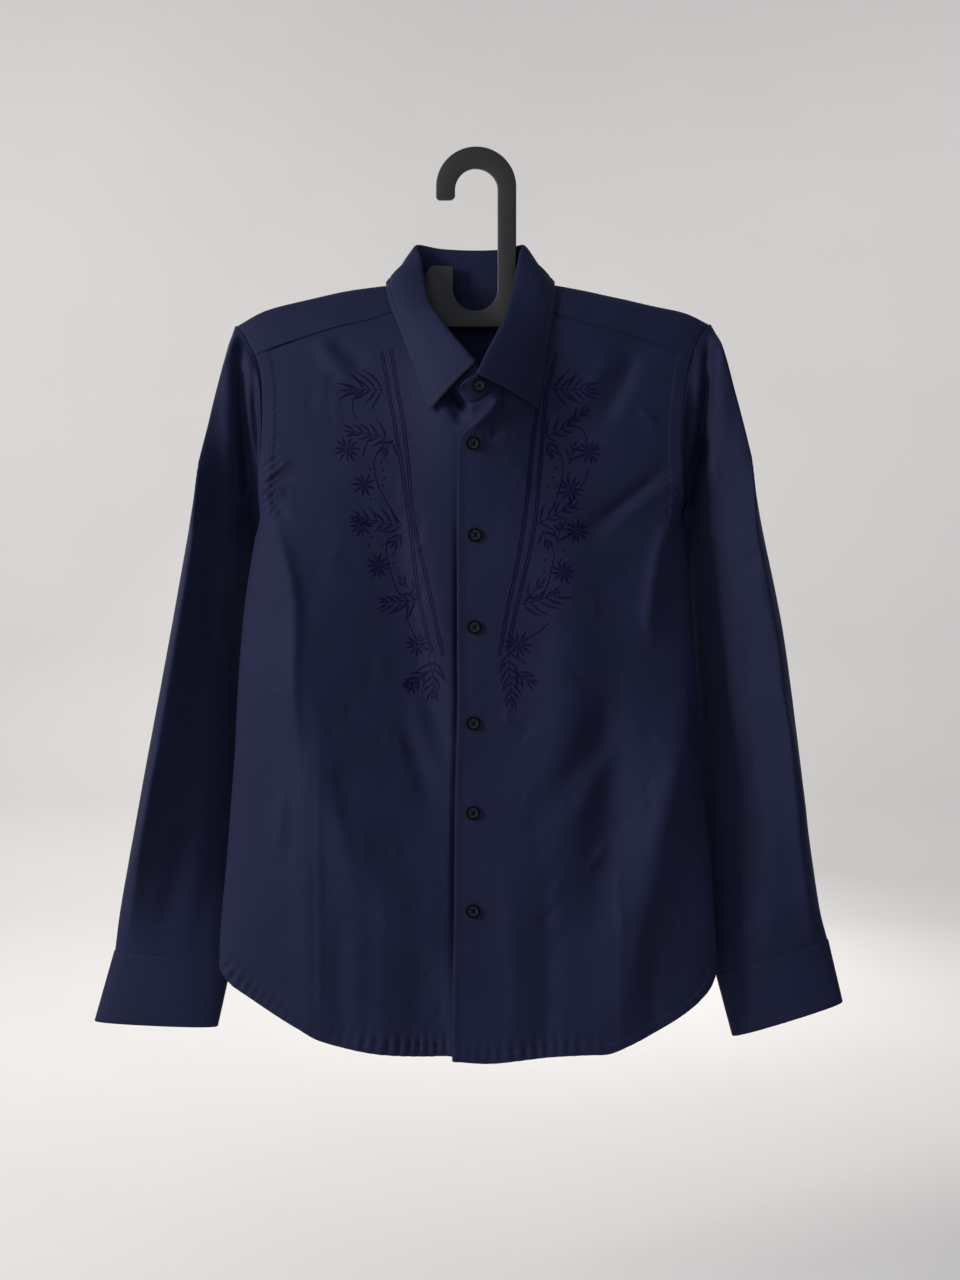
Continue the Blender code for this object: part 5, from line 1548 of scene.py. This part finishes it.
def stitchLine(bag, spots, length=threadCut["length"], gap=threadCut["gap"],
               width=threadCut["width"], height=threadCut["height"]):
    spots = [s for s in spots if s is not None]
    total = pathLength([s[0] for s in spots])
    count = max(1, int(total / (length + gap)))
    starts = [k * total / count + gap / 2 for k in range(count)]
    ends = [s + total / count - gap for s in starts]
    for a, b in zip(walkSpots(spots, starts), walkSpots(spots, ends)):
        addStitch(bag, a, b, width, height)


# The cloth nearest to a point, met from outside a centre
def settle(name, point, centre):
    out = (point - centre).normalized()
    spot, normal, _, _ = skins[name].find_nearest(point + out * 0.004)
    return spot, normal if normal.dot(out) > 0 else -normal


def sewSeams(side):
    inset = frontCut["armholeStitch"]
    bag = bagOf("armholeStitches_" + side)
    front = armholeLine(side, inset)
    stitchLine(bag, [touch("frontPanel_" + side, x, z) for x, z in front if -0.3170 < z < -0.1765])
    # over the yoke, on its front and its back
    for high, low, face in ((-0.1750, -0.1420, "front"), (-0.1440, -0.1880, "back")):
        levels = np.linspace(high, low, 12)
        stitchLine(bag, [touch("yokePanel", insideArm(side, z, inset, face), z, face) for z in levels])
    back = armholeLine(side, inset, "back")
    stitchLine(bag, [touch("backPanel", x, z, "back") for x, z in back if -0.3170 < z < -0.1935])
    hem = hemLine(side, frontCut["hemStitch"])
    stitchLine(bagOf("hemStitches_" + side), [touch("frontPanel_" + side, x, z) for x, z in hem[:-1]])


def sewBack():
    bag = bagOf("backStitches")
    hem = [(x, z + backCut["hemStitch"]) for x, z in backHem[2:-2]]
    stitchLine(bag, [touch("backPanel", x, z, "back") for x, z in hem])
    for drop in (0.0016, 0.0068):
        level = body["backSeamZ"] + drop
        stitchLine(bag, [touch("yokePanel", x, level, "back") for x in np.linspace(-0.192, 0.187, 90)])


# Round the leaf of the collar, a presser foot inside its edge
def sewCollar():
    bag = bagOf("collarStitches")
    inset = collarCut["inset"]
    centre = Vector((0.0, -0.01, -0.13))
    inner = []
    for line in leafLines:
        back = 0.0
        for a, b in zip(reversed(line), reversed(line[:-1])):
            step = (b - a).length
            if back + step > inset:
                inner.append(a.lerp(b, (inset - back) / step))
                break
            back += step
    ends = []
    for line, towards in ((leafLines[0], leafLines[9]), (leafLines[-1], leafLines[-10])):
        end = []
        for a, b in zip(line[5:], towards[5:]):
            if (a - line[-1]).length > inset:
                end.append(a + (b - a).normalized() * inset)
        ends.append(end)
    inner = [p for p in inner if (p - leafLines[0][-1]).length > inset * 1.4]
    inner = [p for p in inner if (p - leafLines[-1][-1]).length > inset * 1.4]
    for path in (ends[0] + inner[:2], inner, ends[1] + inner[-2:][::-1]):
        stitchLine(bag, [settle("collarLeaf", p, centre) for p in path])


def sewCuff(side):
    bag = bagOf("cuffStitches_" + side)
    steps = [math.radians(262 + 340 * t) for t in even(120)]
    long = 0.066
    for t in (threadCut["cuffTop"] / long, 1.0 - threadCut["cuffEdge"] / long):
        ring = cuffRing(side, t, steps)
        mid = sum(ring, Vector()) / len(ring)
        stitchLine(bag, [settle("cuff_" + side + "_band", mid + (p - mid) * 1.06, mid) for p in ring])
    name = "sleevePlacket_" + side + "_strip"
    for angle in (240.5, 253.5):
        line = sleevePoints(side, [lerp(0.775, 0.99, t) for t in even(20)], [math.radians(angle)])
        stitchLine(bag, [touch(name, p[0].x, p[0].z, "back") for p in line])


# A buttonhole: close bars on both sides of a slit and across its ends
def sewButtonhole(bag, name, x, z, upright):
    half, step, wide = threadCut["buttonhole"], threadCut["holeStep"], threadCut["holeWidth"]

    def spotAt(along, across):
        return touch(name, x + (across if upright else along), z + (along if upright else across))

    for k in range(int(2 * half / step) + 1):
        along = -half + k * step
        atEnd = abs(along) > half - 0.0012
        bars = [(-wide, wide)] if atEnd else [(-wide, -0.0003), (0.0003, wide)]
        for a, b in bars:
            first, last = spotAt(along, a), spotAt(along, b)
            if first and last:
                addStitch(bag, first, last, step * 1.25, 0.0004)


for side in sides:
    sewSeams(side)
    sewCuff(side)
for first, last, normal in buttonThreads:
    addStitch(bagOf("buttonThread"), (first, normal), (last, normal), 0.0007, 0.0009)
sewBack()
sewCollar()
for x, z in buttonSpots:
    sewButtonhole(bagOf("buttonholes"), "frontPanel_left", x, z, True)
sewButtonhole(bagOf("buttonholes"), "collarBand", collarButtonSpot[0], collarButtonSpot[1], False)
print("seams sewn")

# Embroidery: leafy sprigs, star flowers and stems in satin stitch beside two sewn tucks a side.
# Places in millimetres, angles in degrees from +X towards +Z.

satinCut = {
    "row": 0.00050, "thread": 0.00062, "rise": 0.00042, "leafWidth": 0.0025,
    "tuckHalf": 0.0011, "cordWidth": 0.00165, "stemWidth": 0.00130, "knot": 0.0012,
    "lean": (50, 74), "stretch": (1.30, 1.80), "curl": (0.05, 0.40),
}
embroidery = {
    "right": {
        "tucks": [
            [(-86, -175), (-68, -277), (-60, -334), (-51, -404), (-40, -449)],
            [(-78, -172), (-64, -255), (-56, -332), (-44, -386), (-30, -452)],
        ],
        # x, z, angle, length, pairs of leaves, leaf length above the stem, below it
        "sprigs": [
            (-83, -211, 178, 32, 6, 15, 13), (-79, -256, 161, 35, 5, 11, 10), (-75, -257, 236, 12, 2, 8, 8),
            (-67, -337, 160, 42, 6, 11, 10), (-67, -340, 238, 14, 2, 8, 8), (-53, -401, 188, 30, 5, 8, 13),
            (-54, -398, 138, 20, 2, 8, 6), (-37, -456, 262, 30, 5, 11, 11), (-45, -466, 226, 20, 3, 10, 9),
        ],
        # x, z, size, petals, turn
        "flowers": [
            (-117, -265, 11, 11, 8), (-102, -297, 10, 9, 20), (-105, -334, 10, 10, 0),
            (-89, -371, 11, 11, 15), (-54, -442, 11, 11, 5), (-59, -479, 8, 7, 30),
        ],
        "stems": [
            [(-103, -212), (-110, -216), (-112, -227), (-109, -238)],
            [(-95, -253), (-100, -262), (-103, -272)],
            [(-76, -257), (-85, -263), (-92, -274), (-90, -294), (-81, -313), (-67, -335)],
            [(-79, -343), (-82, -356), (-80, -368), (-74, -388), (-68, -400)],
            [(-62, -404), (-63, -418), (-58, -430)],
            [(-40, -446), (-43, -455), (-40, -466), (-36, -478)],
        ],
        # x, z of small knots
        "knots": [
            (-86, -277), (-84, -284), (-83, -291), (-85, -298), (-96, -283), (-76, -352), (-75, -360),
            (-75, -368), (-86, -352), (-87, -360), (-96, -344), (-98, -352), (-96, -310),
        ],
    },
    "left": {
        "tucks": [
            [(60, -200), (55, -231), (50, -266), (46, -310), (38, -364), (28, -412), (21, -452)],
            [(73, -177), (63, -220), (58, -277), (53, -332), (44, -377), (35, -415), (28, -449)],
        ],
        "sprigs": [
            (68, -211, 2, 34, 6, 13, 13), (61, -256, 25, 44, 6, 10, 7), (64, -259, 300, 11, 2, 8, 8),
            (84, -279, 70, 17, 2, 8, 8), (55, -334, 30, 37, 5, 11, 8), (59, -338, 296, 13, 2, 9, 8),
            (73, -352, 80, 16, 2, 8, 8), (40, -406, 9, 34, 5, 8, 14), (43, -403, 42, 23, 2, 9, 6),
            (29, -447, 274, 46, 7, 11, 11), (35, -466, 320, 17, 3, 9, 9),
        ],
        "flowers": [
            (103, -267, 11, 11, 12), (85, -302, 12, 11, 0), (91, -339, 11, 11, 18),
            (78, -377, 10, 10, 6), (38, -442, 12, 11, 0),
        ],
        "stems": [
            [(88, -243), (96, -247), (101, -256)],
            [(67, -259), (75, -268), (78, -278), (77, -294), (69, -318)],
            [(66, -350), (70, -360), (69, -368), (65, -386), (58, -402)],
            [(65, -423), (56, -431), (46, -437)],
            [(102, -283), (99, -292), (94, -300)],
        ],
        "knots": [
            (71, -282), (69, -291), (72, -300), (84, -287), (64, -356), (62, -366), (61, -376),
            (60, -386), (78, -358), (76, -366), (64, -300), (88, -318), (80, -322),
        ],
    },
}


def onPanel(side, x, z):
    return touch("frontPanel_" + side, x, z)


def sewBar(bag, side, x0, z0, x1, z1, width, rise):
    first, last = onPanel(side, x0, z0), onPanel(side, x1, z1)
    if first and last:
        addStitch(bag, first, last, width, rise)


# A pointed leaf: slanted rows of satin stitch on both sides of its rib
def sewLeaf(bag, side, x, z, angle, length, width, curl=0.0):
    count = max(5, int(length / satinCut["row"]))
    for k in range(count):
        t = (k + 0.5) / count
        dx, dz = math.cos(angle + curl * t), math.sin(angle + curl * t)
        half = max(0.00035, width / 2 * math.sin(math.pi * t ** 0.8))
        ahead = t * length + half * 0.7
        for hand in (-1, 1):
            sewBar(bag, side, x + dx * t * length, z + dz * t * length,
                   x + dx * ahead - hand * dz * half, z + dz * ahead + hand * dx * half,
                   satinCut["thread"], satinCut["rise"])


# A line of short slanted stitches, such as a stem or the edge of a tuck
def sewCord(bag, side, path, width, rise):
    points = [Vector(p) for p in path]
    long = pathLength(points)
    count = max(3, int(long / satinCut["row"]))
    walk = tracePath(path, even(count))
    for a, b in zip(walk, walk[1:]):
        run = (b - a).normalized()
        off = Vector((-run.y, run.x)) * (width / 2)
        first, last = a - off - run * 0.0003, b + off + run * 0.0003
        sewBar(bag, side, first.x, first.y, last.x, last.y, satinCut["thread"], rise)


def sewSprig(bag, side, x, z, angle, length, pairs, above, below, draw):
    turn = math.radians(angle)
    bend = math.radians(draw.uniform(-9, 9))
    stem = []
    for t in even(8):
        a = turn + bend * t
        stem.append((x + math.cos(a) * length * t, z + math.sin(a) * length * t))
    sewCord(bag, side, stem, satinCut["stemWidth"] * 0.7, satinCut["rise"])
    upper = 1 if math.cos(turn) > 0 else -1
    for n in range(pairs):
        t = (n + 0.45) / pairs
        a = turn + bend * t
        px, pz = x + math.cos(a) * length * t, z + math.sin(a) * length * t
        for hand, size in ((upper, above), (-upper, below)):
            lean = math.radians(draw.uniform(*satinCut["lean"])) * (1.0 - 0.40 * t)
            long = size * mm * draw.uniform(*satinCut["stretch"]) * (1.0 - 0.30 * t)
            curl = -hand * draw.uniform(*satinCut["curl"])
            sewLeaf(bag, side, px, pz, a + hand * lean, long, satinCut["leafWidth"], curl)
    sewLeaf(bag, side, stem[-1][0], stem[-1][1], turn + bend, 0.6 * above * mm, satinCut["leafWidth"])


def sewFlower(bag, side, x, z, size, petals, turn, draw):
    for n in range(petals):
        a = math.radians(turn + 360 * n / petals + draw.uniform(-6, 6))
        long = size * draw.uniform(0.95, 1.2)
        sewLeaf(bag, side, x + math.cos(a) * size * 0.16, z + math.sin(a) * size * 0.16, a,
                long * 0.84, satinCut["leafWidth"] * 1.1)
    sewKnot(bag, side, x, z, satinCut["knot"] * 1.3)


def sewKnot(bag, side, x, z, radius):
    for n in range(6):
        a = math.pi * n / 6
        sewBar(bag, side, x - math.cos(a) * radius, z - math.sin(a) * radius,
               x + math.cos(a) * radius, z + math.sin(a) * radius,
               satinCut["thread"], satinCut["rise"] * 2.2)


def embroider(side):
    design = embroidery[side]
    draw = random.Random(11 if side == "left" else 5)
    tucks, leaves = bagOf("tuckCords_" + side), bagOf("satinMotifs_" + side)
    for line in design["tucks"]:
        walk = tracePath([(x * mm, z * mm) for x, z in line], even(40))
        for hand in (-1, 1):
            path = []
            for k, p in enumerate(walk):
                run = (walk[min(k + 1, 40)] - walk[max(k - 1, 0)]).normalized()
                path.append(tuple(p + Vector((-run.y, run.x)) * hand * satinCut["tuckHalf"]))
            sewCord(tucks, side, path, satinCut["cordWidth"], satinCut["rise"] * 1.2)
    for x, z, angle, length, pairs, above, below in design["sprigs"]:
        sewSprig(leaves, side, x * mm, z * mm, angle, length * mm, pairs, above, below, draw)
    for x, z, size, petals, turn in design["flowers"]:
        sewFlower(leaves, side, x * mm, z * mm, size * mm, petals, turn, draw)
    for line in design["stems"]:
        path = [(x * mm, z * mm) for x, z in line]
        sewCord(leaves, side, path, satinCut["stemWidth"], satinCut["rise"] * 1.2)
    for x, z in design["knots"]:
        sewKnot(leaves, side, x * mm, z * mm, satinCut["knot"])


for side in sides:
    embroider(side)
for name, bag in bags.items():
    silk = name.startswith(("tuck", "satin", "buttonThread"))
    addPiece(name, bag["verts"], bag["faces"], looks["silk" if silk else "thread"])
print("embroidery and stitches:", sum(len(bag["faces"]) for bag in bags.values()), "faces")

# Camera, light and floor

def setStage():
    eye = bpy.data.cameras.new("photoCamera")
    eye.sensor_fit = "VERTICAL"
    eye.sensor_height = 36.0
    eye.lens = photo["focalPixels"] * 36.0 / photo["height"]
    camera = bpy.data.objects.new("photoCamera", eye)
    camera.location = photo["eye"]
    camera.rotation_euler = (math.radians(90), 0, 0)
    bpy.context.scene.collection.objects.link(camera)
    bpy.context.scene.camera = camera

    look, nodes, links, shader = newLook("paleFloor")
    place = nodes.new("ShaderNodeTexCoord")
    tone = noiseAt(nodes, links, place.outputs["Object"], 3.0, 4.0)
    colour = mixColour(nodes, links, tone, (0.60, 0.585, 0.565), (0.64, 0.625, 0.605))
    links.new(colour, shader.inputs["Base Color"])
    shader.inputs["Roughness"].default_value = 0.85
    mesh = bpy.data.meshes.new("floor")
    rows = [(-3.2, -1.15), (1.6, -1.15), (2.2, -1.08), (2.6, -0.85), (2.8, -0.45), (2.85, 0.2), (2.85, 2.6)]
    verts = [(x, y, z) for y, z in rows for x in (-3.5, 3.5)]
    faces = [(2 * i, 2 * i + 1, 2 * i + 3, 2 * i + 2) for i in range(len(rows) - 1)]
    mesh.from_pydata(verts, [], faces)
    mesh.materials.append(look)
    mesh.shade_smooth()
    floor = bpy.data.objects.new("floor", mesh)
    bpy.context.scene.collection.objects.link(floor)

    world = bpy.data.worlds.new("paleRoom")
    world.use_nodes = True
    world.node_tree.nodes["Background"].inputs["Color"].default_value = (0.86, 0.90, 1.0, 1)
    world.node_tree.nodes["Background"].inputs["Strength"].default_value = 0.38
    bpy.context.scene.world = world
    bpy.context.scene.view_settings.view_transform = "Standard"

    # name, place, aim, width, height, power, colour
    lamps = [
        ("windowLight", (-2.30, -1.25, 0.40), (0.0, 0.0, -0.42), 0.62, 0.95, 72, (1.0, 0.98, 0.97)),
        ("fillLight", (-0.9, -2.5, 0.2), (0.0, 0.0, -0.45), 0.9, 0.9, 4, (0.93, 0.96, 1.0)),
        ("backdropLeft", (-1.7, 1.0, 0.9), (-0.8, 2.9, -0.3), 1.4, 1.4, 18, (1.0, 0.985, 0.965)),
        ("backdropRight", (1.7, 1.0, 0.9), (0.8, 2.9, -0.3), 1.4, 1.4, 17, (1.0, 0.985, 0.965)),
        ("rimLight", (-1.2, 2.2, 0.7), (0.0, 0.0, -0.40), 0.8, 0.8, 16, (1.0, 0.98, 0.97)),
        ("backLight", (0.35, 2.3, -0.1), (0.0, 0.0, -0.45), 0.7, 0.9, 16, (1.0, 0.985, 0.97)),
    ]
    for name, place, aim, width, height, power, colour in lamps:
        data = bpy.data.lights.new(name, "AREA")
        data.shape = "RECTANGLE"
        data.size = width
        data.size_y = height
        data.energy = power
        data.color = colour
        lamp = bpy.data.objects.new(name, data)
        lamp.location = place
        lamp.rotation_euler = (Vector(aim) - Vector(place)).to_track_quat("-Z", "Y").to_euler()
        bpy.context.scene.collection.objects.link(lamp)


setStage()
bpy.context.view_layer.update()
